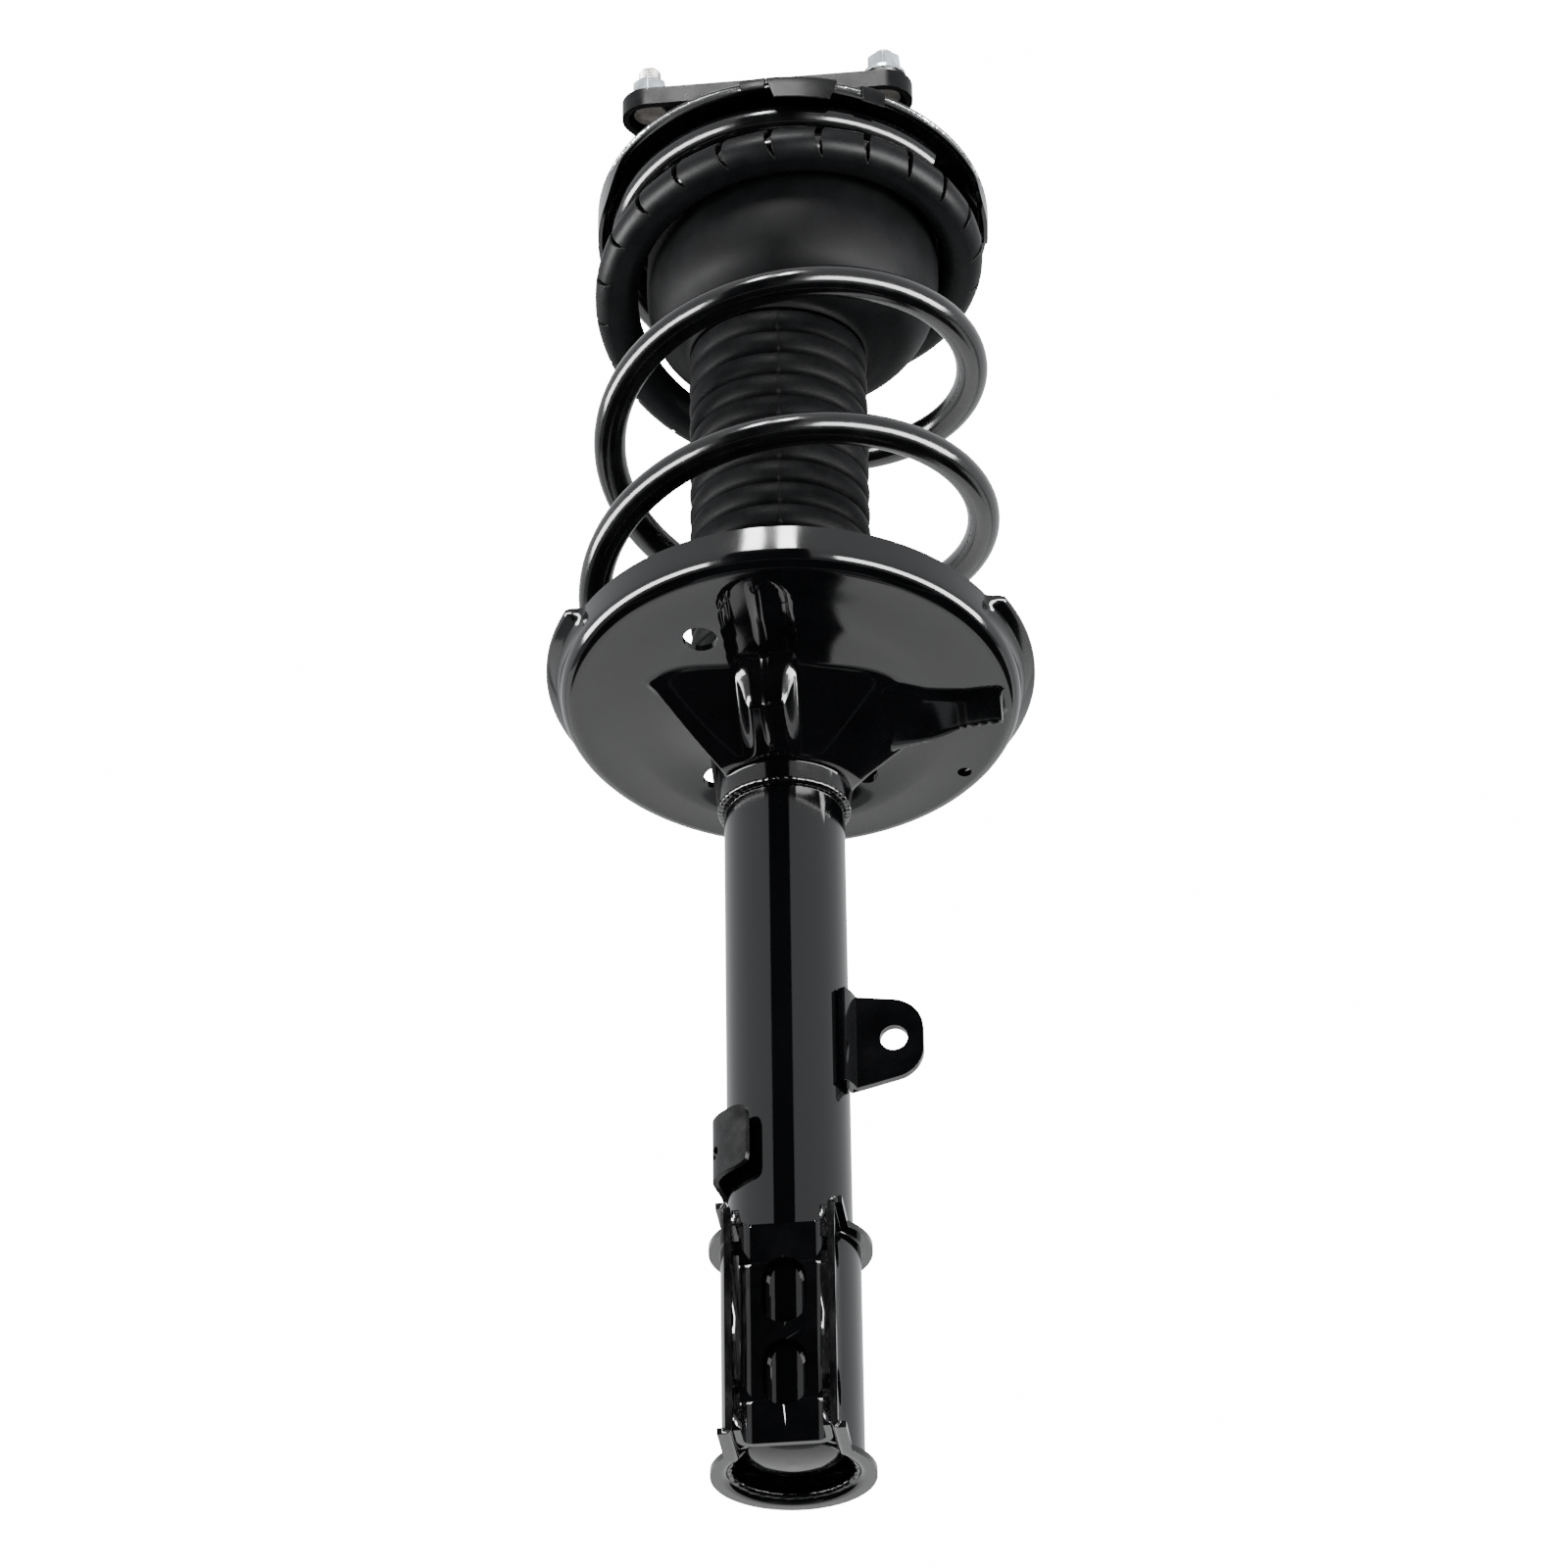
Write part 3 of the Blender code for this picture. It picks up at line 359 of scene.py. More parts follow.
def soften(obj, width):
    """Round the sharp edges and weight the shading by face area."""
    edge = obj.modifiers.new("Edge", "BEVEL")
    edge.width = width * MM
    edge.segments = 3
    edge.limit_method = "ANGLE"
    edge.angle_limit = math.radians(32.0)
    shading = obj.modifiers.new("Shading", "WEIGHTED_NORMAL")
    shading.mode = "FACE_AREA_WITH_ANGLE"
    shading.weight = 100
    shading.keep_sharp = True


def cut(obj, cutter):
    """Cut a hole with another object, then drop that object. False if the cut failed."""
    before = obj.data
    boolean = obj.modifiers.new("Hole", "BOOLEAN")
    boolean.operation = "DIFFERENCE"
    boolean.solver = "EXACT"
    boolean.object = cutter
    apply_modifiers(obj)
    bpy.data.objects.remove(cutter, do_unlink=True)
    if len(obj.data.vertices) > 0.6 * len(before.vertices):
        return True
    obj.data = before
    return False


def cutter_from(shape, name):
    """Turn a bmesh into an object to cut with, and free it."""
    mesh = bpy.data.meshes.new(name)
    shape.to_mesh(mesh)
    shape.free()
    cutter = bpy.data.objects.new(name, mesh)
    bpy.context.scene.collection.objects.link(cutter)
    return cutter


def drill(obj, radius, centre, axis="Z", length=60.0):
    """Drill a round hole; if the cut fails, try again with another facet count."""
    for segments in (48, 44, 38, 34):
        if drill_once(obj, radius, centre, axis, length, segments):
            return


def drill_once(obj, radius, centre, axis, length, segments):
    shape = bmesh.new()
    bmesh.ops.create_cone(
        shape, cap_ends=True, segments=segments, radius1=radius * MM, radius2=radius * MM, depth=length * MM
    )
    if axis != "Z":
        turn = Matrix.Rotation(math.pi / 2, 3, "Y" if axis == "X" else "X")
        bmesh.ops.rotate(shape, cent=(0, 0, 0), matrix=turn, verts=shape.verts)
    bmesh.ops.translate(shape, vec=Vector(centre) * MM, verts=shape.verts)
    return cut(obj, cutter_from(shape, "drill"))


def ease(value):
    t = min(max(value, 0.0), 1.0)
    return t * t * (3.0 - 2.0 * t)


def tilted(x, y, tilt, blend, radius, angle, height):
    """A point on a circle that leans about X and sits off the axis; blend 0 is upright and centred."""
    lean = tilt * blend
    side = radius * math.sin(angle)
    across = x * blend + radius * math.cos(angle)
    return Vector((across, y * blend + side * math.cos(lean), height - side * math.sin(lean)))


def spring_y(z):
    return (z - SPRING_CROSS_Z) * math.tan(SPRING_TILT)


def upper_point(blend, radius, angle, height):
    return tilted(SPRING_X, spring_y(height), SPRING_TILT, blend, radius, angle, height)


def circle(count):
    return [2.0 * math.pi * i / count for i in range(count)]


def smooth_line(stations, steps):
    """Refine a list of tuples by Catmull-Rom interpolation."""
    out = []
    for i in range(len(stations) - 1):
        p0 = stations[max(i - 1, 0)]
        p1 = stations[i]
        p2 = stations[i + 1]
        p3 = stations[min(i + 2, len(stations) - 1)]
        for k in range(steps):
            t = k / steps
            point = []
            for a, b, c, d in zip(p0, p1, p2, p3):
                square = (2 * a - 5 * b + 4 * c - d) * t * t
                cube = (3 * b - a - 3 * c + d) * t**3
                point.append(0.5 * (2 * b + (c - a) * t + square + cube))
            out.append(tuple(point))
    out.append(stations[-1])
    return out


# ---------------------------------------------------------------- coil spring

def coil_radius(turn):
    for (a, ra), (b, rb) in zip(COIL_RADII, COIL_RADII[1:]):
        if turn <= b:
            return ra + (rb - ra) * ease((turn - a) / (b - a))
    return COIL_RADII[-1][1]


def bend(turn, corner, half):
    if turn <= corner - half:
        return 0.0
    if turn >= corner + half:
        return turn - corner
    return (turn - corner + half) ** 2 / (4.0 * half)


def coil_height(turn):
    closed_top = COIL_UPPER_SEAT - END_COIL_RISE * (turn + 2.0)
    steeper = COIL_PITCH - END_COIL_RISE
    first = (SPRING_CROSS_Z - COIL_UPPER_SEAT + 2.0 * END_COIL_RISE) / steeper
    last = (SPRING_CROSS_Z - COIL_LOWER_SEAT) / COIL_PITCH
    return closed_top - steeper * bend(turn, first, 0.2) + COIL_PITCH * bend(turn, last, 0.25)


def coil_point(turn, out=0.0):
    height = coil_height(turn)
    angle = math.radians(-90.0 - 360.0 * turn)
    return tilted(SPRING_X, spring_y(height), SPRING_TILT, 1.0, coil_radius(turn) + out, angle, height)


AXIS_UP = Vector((0.0, math.sin(SPRING_TILT), math.cos(SPRING_TILT)))


def wire_point(turn, polar, reach):
    """A point beside the wire: polar in degrees, 0 outwards, -90 below."""
    out = reach * math.cos(math.radians(polar))
    rise = reach * math.sin(math.radians(polar))
    return coil_point(turn, out) + AXIS_UP * rise


def wire_rings(first, last, cap_first, cap_last):
    """Rings of a round wire from one turn to another, with chamfered cut ends."""
    per_turn = 96
    count = max(int(abs(last - first) * per_turn), 4)
    tiny = 0.0015
    samples = [(first + (last - first) * i / count, 1.0) for i in range(count + 1)]
    if cap_first:
        samples = [(first, 0.0), (first, 0.86), (first + tiny, 1.0)] + samples[1:]
    if cap_last:
        samples = samples[:-1] + [(last - tiny, 1.0), (last, 0.86), (last, 0.0)]
    rings = []
    for turn, share in samples:
        here = coil_point(turn)
        along = (coil_point(turn + 0.002) - coil_point(turn - 0.002)).normalized()
        side = along.cross(AXIS_UP).normalized()
        up = side.cross(along).normalized()
        radius = WIRE_R * max(share, 0.02)
        rings.append([here + (side * math.cos(a) + up * math.sin(a)) * radius for a in circle(32)])
    return rings


def make_spring():
    cut_top = SPRING_JOIN_TOP
    cut_low = SPRING_JOIN_BOTTOM
    top = skin("spring_end_coil_top", wire_rings(COIL_FIRST_TURN, cut_top, True, False), "coil_paint")
    middle = skin("spring_free_coils", wire_rings(cut_top, cut_low, False, False), "coil_paint")
    low = skin("spring_end_coil_bottom", wire_rings(cut_low, COIL_LAST_TURN, False, True), "coil_paint")
    for piece in (top, middle, low):
        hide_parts("coil_spring")
    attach(top, "upper_seat")
    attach(low, "strut_body")
    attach(middle, "upper_seat")
    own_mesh(middle)


# ---------------------------------------------------------------- upper end

def skirt(degrees):
    degrees = degrees % 360.0
    left = ease((degrees - 165.0) / 6.0) * (1.0 - ease((degrees - 202.0) / 16.0))
    right = ease((degrees - 344.0) / 8.0) if degrees > 180.0 else 1.0 - ease((degrees - 8.0) / 6.0)
    return 10.0 * left + 6.0 * right


def make_upper_seat():
    z = UPPER_RIM_Z
    count = 240
    outer = [
        (0.0, 7.3, -25.5), (0.0, 20.0, -25.5), (0.25, 30.0, -28.2), (0.6, 44.0, -32.3), (1.0, 62.0, z + 3.0),
        (1.0, 74.0, z + 2.6), (1.0, 80.0, z + 3.4), (1.0, 85.6, z + 3.2), (1.0, 87.3, z + 2.6),
    ]
    lip = [
        (1.0, 88.0, z + 1.6, 0.0), (1.0, 88.0, z + 0.6, 0.0), (1.0, 87.4, z + 0.1, 0.0),
        (1.0, 88.0, z - 0.5, 0.0), (1.0, 88.0, z - 1.7, 0.0), (1.0, 87.8, z - 2.5, 1.0),
        (1.0, 86.0, z - 2.5, 1.0), (1.0, 85.4, z - 1.0, 0.2),
    ]
    under = [
        (1.0, 83.5, z - 0.2), (1.0, 74.0, z), (1.0, 62.0, z), (0.6, 44.0, -35.3), (0.25, 30.0, -31.2),
        (0.0, 20.0, -28.5), (0.0, 7.3, -28.5),
    ]
    stations = [(b, r, h, 0.0) for b, r, h in outer] + lip + [(b, r, h, 0.0) for b, r, h in under]
    rings = []
    for blend, radius, height, drop in stations:
        ring = []
        for a in circle(count):
            point = upper_point(blend, radius, a, height)
            point.z -= skirt(math.degrees(a)) * drop
            ring.append(point)
        rings.append(ring)
    seat = skin("upper_seat_pressing", rings, "paint", close_chain=True, smooth_angle=60.0)
    seat.data.materials.append(MATS["speckle"])
    first = (len(outer) + 1) * count
    last = (len(outer) + 4) * count
    for i, face in enumerate(seat.data.polygons):
        if first <= i < last:
            face.material_index = 1
    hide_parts("upper_spring_seat")
    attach(seat, "upper_seat")


def make_rim_clip(name, first, last, over, drop, taper):
    """A tab that hooks over the upper seat's rim; taper narrows its lower edge, in degrees."""
    z = UPPER_RIM_Z
    rows = [
        (UPPER_RIM_R - over, z + 4.0, 0.0), (UPPER_RIM_R - 0.5, z + 4.0, 0.0),
        (UPPER_RIM_R + 0.8, z + 3.2, 0.0), (UPPER_RIM_R + 1.3, z + 1.6, 0.0), (UPPER_RIM_R + 1.2, z - 1.0, 0.25),
        (UPPER_RIM_R + 0.9, z - drop + 0.8, 0.9), (UPPER_RIM_R + 0.7, z - drop, 1.0),
    ]
    columns = 14
    vertices = []
    for radius, height, share in rows:
        for i in range(columns + 1):
            low = first + taper * share
            high = last - taper * share
            a = math.radians(low + (high - low) * i / columns)
            vertices.append(upper_point(1.0, radius, a, height))
    clip = add_mesh(name, vertices, grid_faces(len(rows), columns + 1), "cast_paint")
    thicken(clip, 1.0, 1.0, 0.25)
    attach(clip, "upper_seat")


def make_isolator():
    """Rubber channel round the second turn: its outer flank is slit into tabs."""
    per_turn = 24.0
    skin_r = 9.5
    top_polar = 52.0
    slit_polar = -62.0
    end_polar = -205.0
    tab_rows = 9
    low_rows = 16
    cells = 8
    first = int(math.ceil(SLEEVE_FIRST_TURN * per_turn))
    last = int(math.floor(SLEEVE_LAST_TURN * per_turn))
    vertices = []
    faces = []
    index = {}

    def vertex(key, turn, polar, reach):
        if key not in index:
            index[key] = len(vertices)
            vertices.append(wire_point(turn, polar, reach))
        return index[key]

    for tab in range(first, last):
        for row in range(tab_rows + low_rows):
            for cell in range(cells):
                corner = []
                for dr, dc in ((0, 0), (0, 1), (1, 1), (1, 0)):
                    r = row + dr
                    c = cell + dc
                    if r < tab_rows:
                        t = r / tab_rows
                        polar = top_polar + (slit_polar - top_polar) * t
                        half = 0.075 * (1.0 - t) ** 0.7 + 0.018
                        sway = 0.10 * math.sin(math.pi * t) - 0.05 * t
                        share = half + (1.0 - 2.0 * half) * c / cells
                        turn = (tab + share + sway) / per_turn
                        crown = 0.5 * math.sin(math.pi * c / cells) * (1.0 - t)
                        corner.append(vertex((tab, r, c), turn, polar, skin_r + 0.35 - crown * 0.4))
                    else:
                        t = (r - tab_rows) / low_rows
                        polar = slit_polar + (end_polar - slit_polar) * t
                        column = tab * cells + c
                        sway = -0.05 * (1.0 - ease(t * 3.0))
                        reach = skin_r + 0.35 * (1.0 - ease(t * 8.0))
                        turn = (column / cells + sway) / per_turn
                        corner.append(vertex(("low", r, column), turn, polar, reach))
                faces.append(tuple(corner))
    rubber = add_mesh("isolator_sleeve", vertices, faces, "rubber", 50.0)
    thicken(rubber, 1.5, -1.0, 0.3)
    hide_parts("upper_isolator")
    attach(rubber, "upper_seat")


def make_boot_dome():
    top = UPPER_RIM_Z - 1.0
    outer = smooth_line(
        [
            (1.0, DOME_R, top), (1.0, DOME_R, -60.0), (1.0, DOME_R, -78.0), (0.86, DOME_R - 2.0, -92.0),
            (0.58, 56.5, -106.0), (0.25, 46.0, -114.6), (0.05, 40.0, -118.4), (0.0, BOOT_R - 0.4, -121.0),
        ],
        6,
    )
    inner = [(b, r - 2.3, h + 1.2) for b, r, h in reversed(outer)]
    inner[0] = (0.0, 34.0, -121.0)
    inner[-1] = (1.0, DOME_R - 2.3, top)
    rings = [[upper_point(b, r, a, h) for a in circle(144)] for b, r, h in outer + inner]
    dome = skin("boot_dome_rubber", rings, "dome_rubber", close_chain=True, smooth_angle=60.0)
    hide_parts("boot_dome")
    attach(dome, "upper_seat")


def make_boot():
    profile = []
    for fold in range(BOOT_FOLDS):
        z = BOOT_TOP - fold * BOOT_PITCH
        for k in range(12):
            t = k / 12.0
            swell = math.sin(math.pi * t) ** 0.42 if k else 0.0
            droop = 0.10 * math.sin(2.0 * math.pi * t)
            radius = BOOT_GROOVE_R + (BOOT_R - BOOT_GROOVE_R) * swell
            profile.append((radius, z - BOOT_PITCH * (t + droop * 0.3)))
    end = BOOT_TOP - BOOT_FOLDS * BOOT_PITCH
    profile += [(BOOT_GROOVE_R, end), (35.0, end), (34.6, end + 1.0), (34.6, BOOT_TOP), (35.2, BOOT_TOP)]
    angles = circle(150)
    seam = math.radians(-84.0)
    angles += [seam - 0.012, seam - 0.006, seam + 0.006, seam + 0.012]
    angles = sorted(a % (2.0 * math.pi) for a in angles)
    rings = []
    for radius, height in profile:
        ring = []
        for a in angles:
            off = abs((a - seam + math.pi) % (2.0 * math.pi) - math.pi)
            ridge = 0.35 if off < 0.008 and radius > 36.0 else 0.0
            ring.append(Vector(((radius + ridge) * math.cos(a), (radius + ridge) * math.sin(a), height)))
        rings.append(ring)
    boot = skin("dust_bellows", rings, "boot", close_chain=True, smooth_angle=50.0)
    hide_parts("dust_boot")
    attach(boot, "upper_seat")
    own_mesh(boot)


# ---------------------------------------------------------------- lower seat

def pan_reach(off):
    """Radius from the damper axis where the funnel leaves the floor, by angle from the front."""
    if off < 0.0:
        wide = 64.0 + 11.0 * ease((-off - 12.0) / 30.0)
        return 32.0 + (wide - 32.0) * (1.0 - ease((-off - 45.0) / 8.0))
    wide = 63.0 + 6.0 * ease((off - 20.0) / 30.0)
    return 32.0 + (wide - 32.0) * (1.0 - ease((off - 80.0) / 14.0))


def between(value, points):
    """Straight-line interpolation through (position, value) pairs."""
    for (a, va), (b, vb) in zip(points, points[1:]):
        if value <= b:
            return va + (vb - va) * min(max((value - a) / (b - a), 0.0), 1.0)
    return points[-1][1]


def pan_floor(x, y):
    """Height of the pressed floor's underside over its plane, from a point in plan."""
    r = math.hypot(x, y)
    off = (math.degrees(math.atan2(y, x)) - 270.0 + 540.0) % 360.0 - 180.0
    seat_r = math.hypot(x - LOWER_X, y - LOWER_Y)
    flat = -1.5 * (1.0 - ease((seat_r - 60.0) / 28.0))
    reach = pan_reach(off)
    sloped = 25.0 * ease_line((reach - r) / (reach - 29.0))
    nose = 1.0 - ease((abs(x + 1.0) - 6.5) / 7.0)
    cliff = 18.0 * ease((61.5 - r) / 3.5) + 7.0 * min(max((58.0 - r) / 29.0, 0.0), 1.0)
    if y < 0.0:
        sloped += (cliff - sloped) * nose
    height = flat - sloped
    if x > 22.0:
        front = between(x, ((22.0, -56.0), (34.0, -50.5), (64.0, -35.5), (80.0, -31.8), (98.0, -31.0)))
        rear = between(x, ((22.0, -8.0), (41.0, -11.0), (62.0, -12.5), (76.0, -17.0), (98.0, -17.0)))
        deep = between(x, ((22.0, 20.0), (41.0, 14.0), (62.0, 10.0), (80.0, 8.0), (98.0, 7.5)))
        across = (y - front) / (rear - front)
        rise = 0.25 * ease(across / 0.14) + 0.75 * ease_line(across)
        shelf = deep * rise * (1.0 - ease((y - rear) / 2.4))
        shelf *= 1.0 - ease((x - 94.6) / 1.4)
        height = min(height, flat - shelf)
    d = math.hypot(x + 1.0, min(y + 97.0, 0.0))
    inside = (1.0 - ease((d - 11.6) / 3.0)) * ease((-y - 60.6) / 2.0)
    height += 3.6 * inside
    line = math.exp(-((x + 1.0) / 1.15) ** 2) * ease((-y - 34.0) / 8.0) * (1.0 - ease((-y - 100.0) / 6.0))
    return height - 1.3 * line


def ease_line(t):
    """A straight ramp from 0 to 1 with rounded ends."""
    t = min(max(t, 0.0), 1.0)
    soft = 0.14
    if t < soft:
        return t * t / (2.0 * soft) / (1.0 - soft)
    if t > 1.0 - soft:
        return 1.0 - (1.0 - t) ** 2 / (2.0 * soft) / (1.0 - soft)
    return (t - soft / 2.0) / (1.0 - soft)


def lower_lift(y):
    """Height of the leaning seat plane over its centre, at a plan position."""
    return -(y - LOWER_Y) * math.tan(LOWER_TILT)


def lip_out(degrees):
    degrees = degrees % 360.0
    if degrees > 270.0:
        return 6.2 * ease((degrees - 333.0) / 3.0)
    return 6.2 * (1.0 - ease((degrees - 211.0) / 3.0))


def open_mouth(pan):
    """Cut the outlet at the end of the pressed channel."""
    shape = bmesh.new()
    bmesh.ops.create_cube(shape, size=1.0)
    bmesh.ops.scale(shape, vec=Vector((3.4, 13.4, 26.0)) * MM, verts=shape.verts)
    bmesh.ops.translate(shape, vec=Vector((95.9, -24.2, PAN_HOLE_Z)) * MM, verts=shape.verts)
    cut(pan, cutter_from(shape, "mouth"))


def make_lower_seat():
    count = 360
    z = LOWER_FLOOR_Z
    corner = LOWER_CORNER_R
    rows = []

    def floor_row(share, lift):
        ring = []
        for a in circle(count):
            inner = Vector(((TUBE_R + 3.4) * math.cos(a), (TUBE_R + 3.4) * math.sin(a)))
            rim = Vector((LOWER_X + (corner - 7.0) * math.cos(a), LOWER_Y + (corner - 7.0) * math.sin(a)))
            spot = inner.lerp(rim, share)
            height = z + pan_floor(spot.x, spot.y) + lower_lift(spot.y) * ease(share * 1.6) + lift
            ring.append(Vector((spot.x, spot.y, height)))
        return ring

    def wall_row(radius, height, flared):
        ring = []
        for a in circle(count):
            r = radius + (lip_out(math.degrees(a)) * flared)
            point = tilted(LOWER_X, LOWER_Y, LOWER_TILT, 1.0, r, a, height)
            point.y += (height - z - 3.0) * math.tan(LOWER_TILT)
            ring.append(point)
        return ring

    for radius, height in ((TUBE_R + 2.1, NECK_BOTTOM), (TUBE_R + 2.6, NECK_BOTTOM + 3.0)):
        rows.append([Vector((radius * math.cos(a), radius * math.sin(a), height)) for a in circle(count)])
    steps = 84
    for k in range(steps + 1):
        rows.append(floor_row(k / steps, 0.0))
    for k in range(1, 9):
        a = math.radians(90.0 * k / 8.0)
        rows.append(wall_row(corner - 7.0 + 7.0 * math.sin(a), z + 7.0 * (1.0 - math.cos(a)), 0.0))
    rows.append(wall_row(corner, z + 12.5, 0.0))
    rows.append(wall_row(corner, z + 14.5, 0.35))
    rows.append(wall_row(corner, z + 16.0, 0.85))
    rows.append(wall_row(corner, z + 17.2, 1.0))
    rows.append(wall_row(corner, z + 18.6, 1.0))
    vertices = [p for r in rows for p in r]
    faces = []
    for k in range(len(rows) - 1):
        for i in range(count):
            j = (i + 1) % count
            faces.append((k * count + i, k * count + j, (k + 1) * count + j, (k + 1) * count + i))
    pan = add_mesh("lower_seat_pressing", vertices, faces, "paint", 60.0)
    shape = bmesh.new()
    shape.from_mesh(pan.data)
    bmesh.ops.recalc_face_normals(shape, faces=shape.faces)
    low = min(shape.faces, key=lambda f: f.calc_center_median().z)
    if low.normal.x * low.calc_center_median().x + low.normal.y * low.calc_center_median().y < 0.0:
        bmesh.ops.reverse_faces(shape, faces=shape.faces)
    shape.to_mesh(pan.data)
    shape.free()
    solid = pan.modifiers.new("Sheet", "SOLIDIFY")
    solid.thickness = PAN_SHEET * MM
    solid.offset = -1.0
    apply_modifiers(pan)
    tidy_normals(pan)
    for radius, x, y, length in PAN_HOLES:
        drill(pan, radius, (x, y, PAN_HOLE_Z), length=length)
    open_mouth(pan)
    pan.data.shade_smooth()
    pan.data.set_sharp_from_angle(angle=math.radians(50.0))
    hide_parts("lower_spring_seat")
    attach(pan, "strut_body")


# ---------------------------------------------------------------- welds

def make_weld(name, path, radius, seed, body="strut_body"):
    """A painted weld bead along a list of points: overlapping ripples, uneven in width."""
    chance = random.Random(seed)
    closed = (path[0] - path[-1]).length < 0.01
    rings = []
    for i, here in enumerate(path):
        before = path[i - 1] if i else (path[-2] if closed else here)
        after = path[i + 1] if i + 1 < len(path) else (path[1] if closed else here)
        along = (after - before).normalized()
        side = along.cross(Vector((0, 0, 1))).normalized()
        up = side.cross(along).normalized()
        ripple = 1.0 + 0.06 * math.sin(i * 1.3) + chance.uniform(-0.06, 0.06)
        if not closed:
            ripple *= 0.35 + 0.65 * ease(min(i, len(path) - 1 - i) / 5.0)
        rings.append(
            [here + (side * math.cos(a) + up * math.sin(a) * 0.8) * radius * ripple for a in circle(12)]
        )
    bead = skin(name, rings, "weld", caps=True, smooth_angle=80.0)
    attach(bead, body)


def ring_path(radius, z, first, last, steps):
    points = []
    for i in range(steps + 1):
        a = math.radians(first + (last - first) * i / steps)
        points.append(Vector((radius * math.cos(a), radius * math.sin(a), z)))
    return points


def make_welds():
    make_weld("neck_weld", ring_path(TUBE_R + 0.9, NECK_BOTTOM - 0.4, 0.0, 360.0, 260), 1.9, 3)
    make_weld("bracket_top_weld", ring_path(TUBE_R + 1.0, -556.5, -40.0, 220.0, 110), 1.7, 5)
    make_weld("bracket_bottom_weld", ring_path(TUBE_R + 1.0, -655.5, -50.0, 230.0, 110), 2.2, 7)
    upright = [Vector((TUBE_R + 1.6, -0.6, -449.5 - 39.0 * i / 34.0)) for i in range(35)]
    make_weld("hose_bracket_weld", upright, 1.3, 9)
    turn = math.radians(-156.0 + 30.0)
    side = [
        Vector(((TUBE_R + 0.8) * math.cos(turn), (TUBE_R + 0.8) * math.sin(turn), -503.0 - 24.0 * i / 24.0))
        for i in range(25)
    ]
    make_weld("sensor_bracket_weld", side, 1.3, 11)


# ---------------------------------------------------------------- brackets and body

def arc(cu, cv, radius, first, last, steps):
    points = []
    for i in range(steps + 1):
        a = math.radians(first + (last - first) * i / steps)
        points.append((cu + radius * math.cos(a), cv + radius * math.sin(a)))
    return points


def bracket_path(flared, reach):
    radius = TUBE_R + GAP + flared
    ear = EAR_X + flared * 0.8
    meet = math.degrees(math.asin(min(ear / radius, 1.0)))
    points = [(-ear, -reach), (-ear, -40.0), (-ear, -36.0), (-ear, -32.0), (-ear, -28.0)]
    points += arc(0.0, 0.0, radius, 270.0 - meet, -90.0 + meet, 72)
    points += [(ear, -28.0), (ear, -32.0), (ear, -36.0), (ear, -40.0), (ear, -reach)]
    return points


def wall(name, levels, sheet, material, bevel):
    count = len(levels[0][1])
    vertices = [(x, y, z) for z, outline in levels for x, y in outline]
    obj = add_mesh(name, vertices, grid_faces(len(levels), count), material)
    thicken(obj, sheet, 1.0, bevel)
    return obj


def make_knuckle_bracket():
    flare = [(7.6, 0.0), (5.6, 0.0)]
    for k in range(7):
        a = math.radians(90.0 - 90.0 * k / 6.0)
        flare.append((3.5 * (1.0 - math.cos(a)), 3.5 * (1.0 - math.sin(a))))
    flare.append((0.0, 4.6))
    levels = [(BRACKET_TOP - drop, bracket_path(out, EAR_REACH - 1.0)) for out, drop in flare]
    for z in (-575.0, -590.0, -608.0, -626.0, -642.0):
        levels.append((z, bracket_path(0.0, EAR_REACH - 1.0)))
    levels += [(BRACKET_BOTTOM + drop, bracket_path(out, EAR_REACH - 1.0)) for out, drop in reversed(flare)]
    wrap = wall("knuckle_wrap", levels, BRACKET_SHEET, "paint", 0.5)
    for z in BOLT_HOLE_Z:
        drill(wrap, BOLT_HOLE_R, (0.0, BOLT_HOLE_Y, z), axis="X", length=120.0)
    edge = len(wrap.data.materials)
    wrap.data.materials.append(MATS["rough_edge"])
    for face in wrap.data.polygons:
        if face.center.y < -0.0437:
            face.material_index = edge
    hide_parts("knuckle_bracket")
    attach(wrap, "strut_body")


def cut_slot(obj, z):
    """A round-ended slot through the channel's web."""
    lift = SLOT_HALF_HEIGHT - SLOT_HALF_WIDTH
    outline = arc(0.0, z + lift, SLOT_HALF_WIDTH, 0.0, 180.0, 20)
    outline += arc(0.0, z - lift, SLOT_HALF_WIDTH, 180.0, 360.0, 20)
    count = len(outline)
    mesh = bpy.data.meshes.new("slot")
    faces = [tuple(range(count)), tuple(range(2 * count - 1, count - 1, -1))]
    for i in range(count):
        j = (i + 1) % count
        faces.append((i, i + count, j + count, j))
    mesh.from_pydata([Vector((x, y, h)) * MM for y in (-36.0, -20.0) for x, h in outline], [], faces)
    shape = bmesh.new()
    shape.from_mesh(mesh)
    bmesh.ops.recalc_face_normals(shape, faces=shape.faces)
    cut(obj, cutter_from(shape, "slot"))


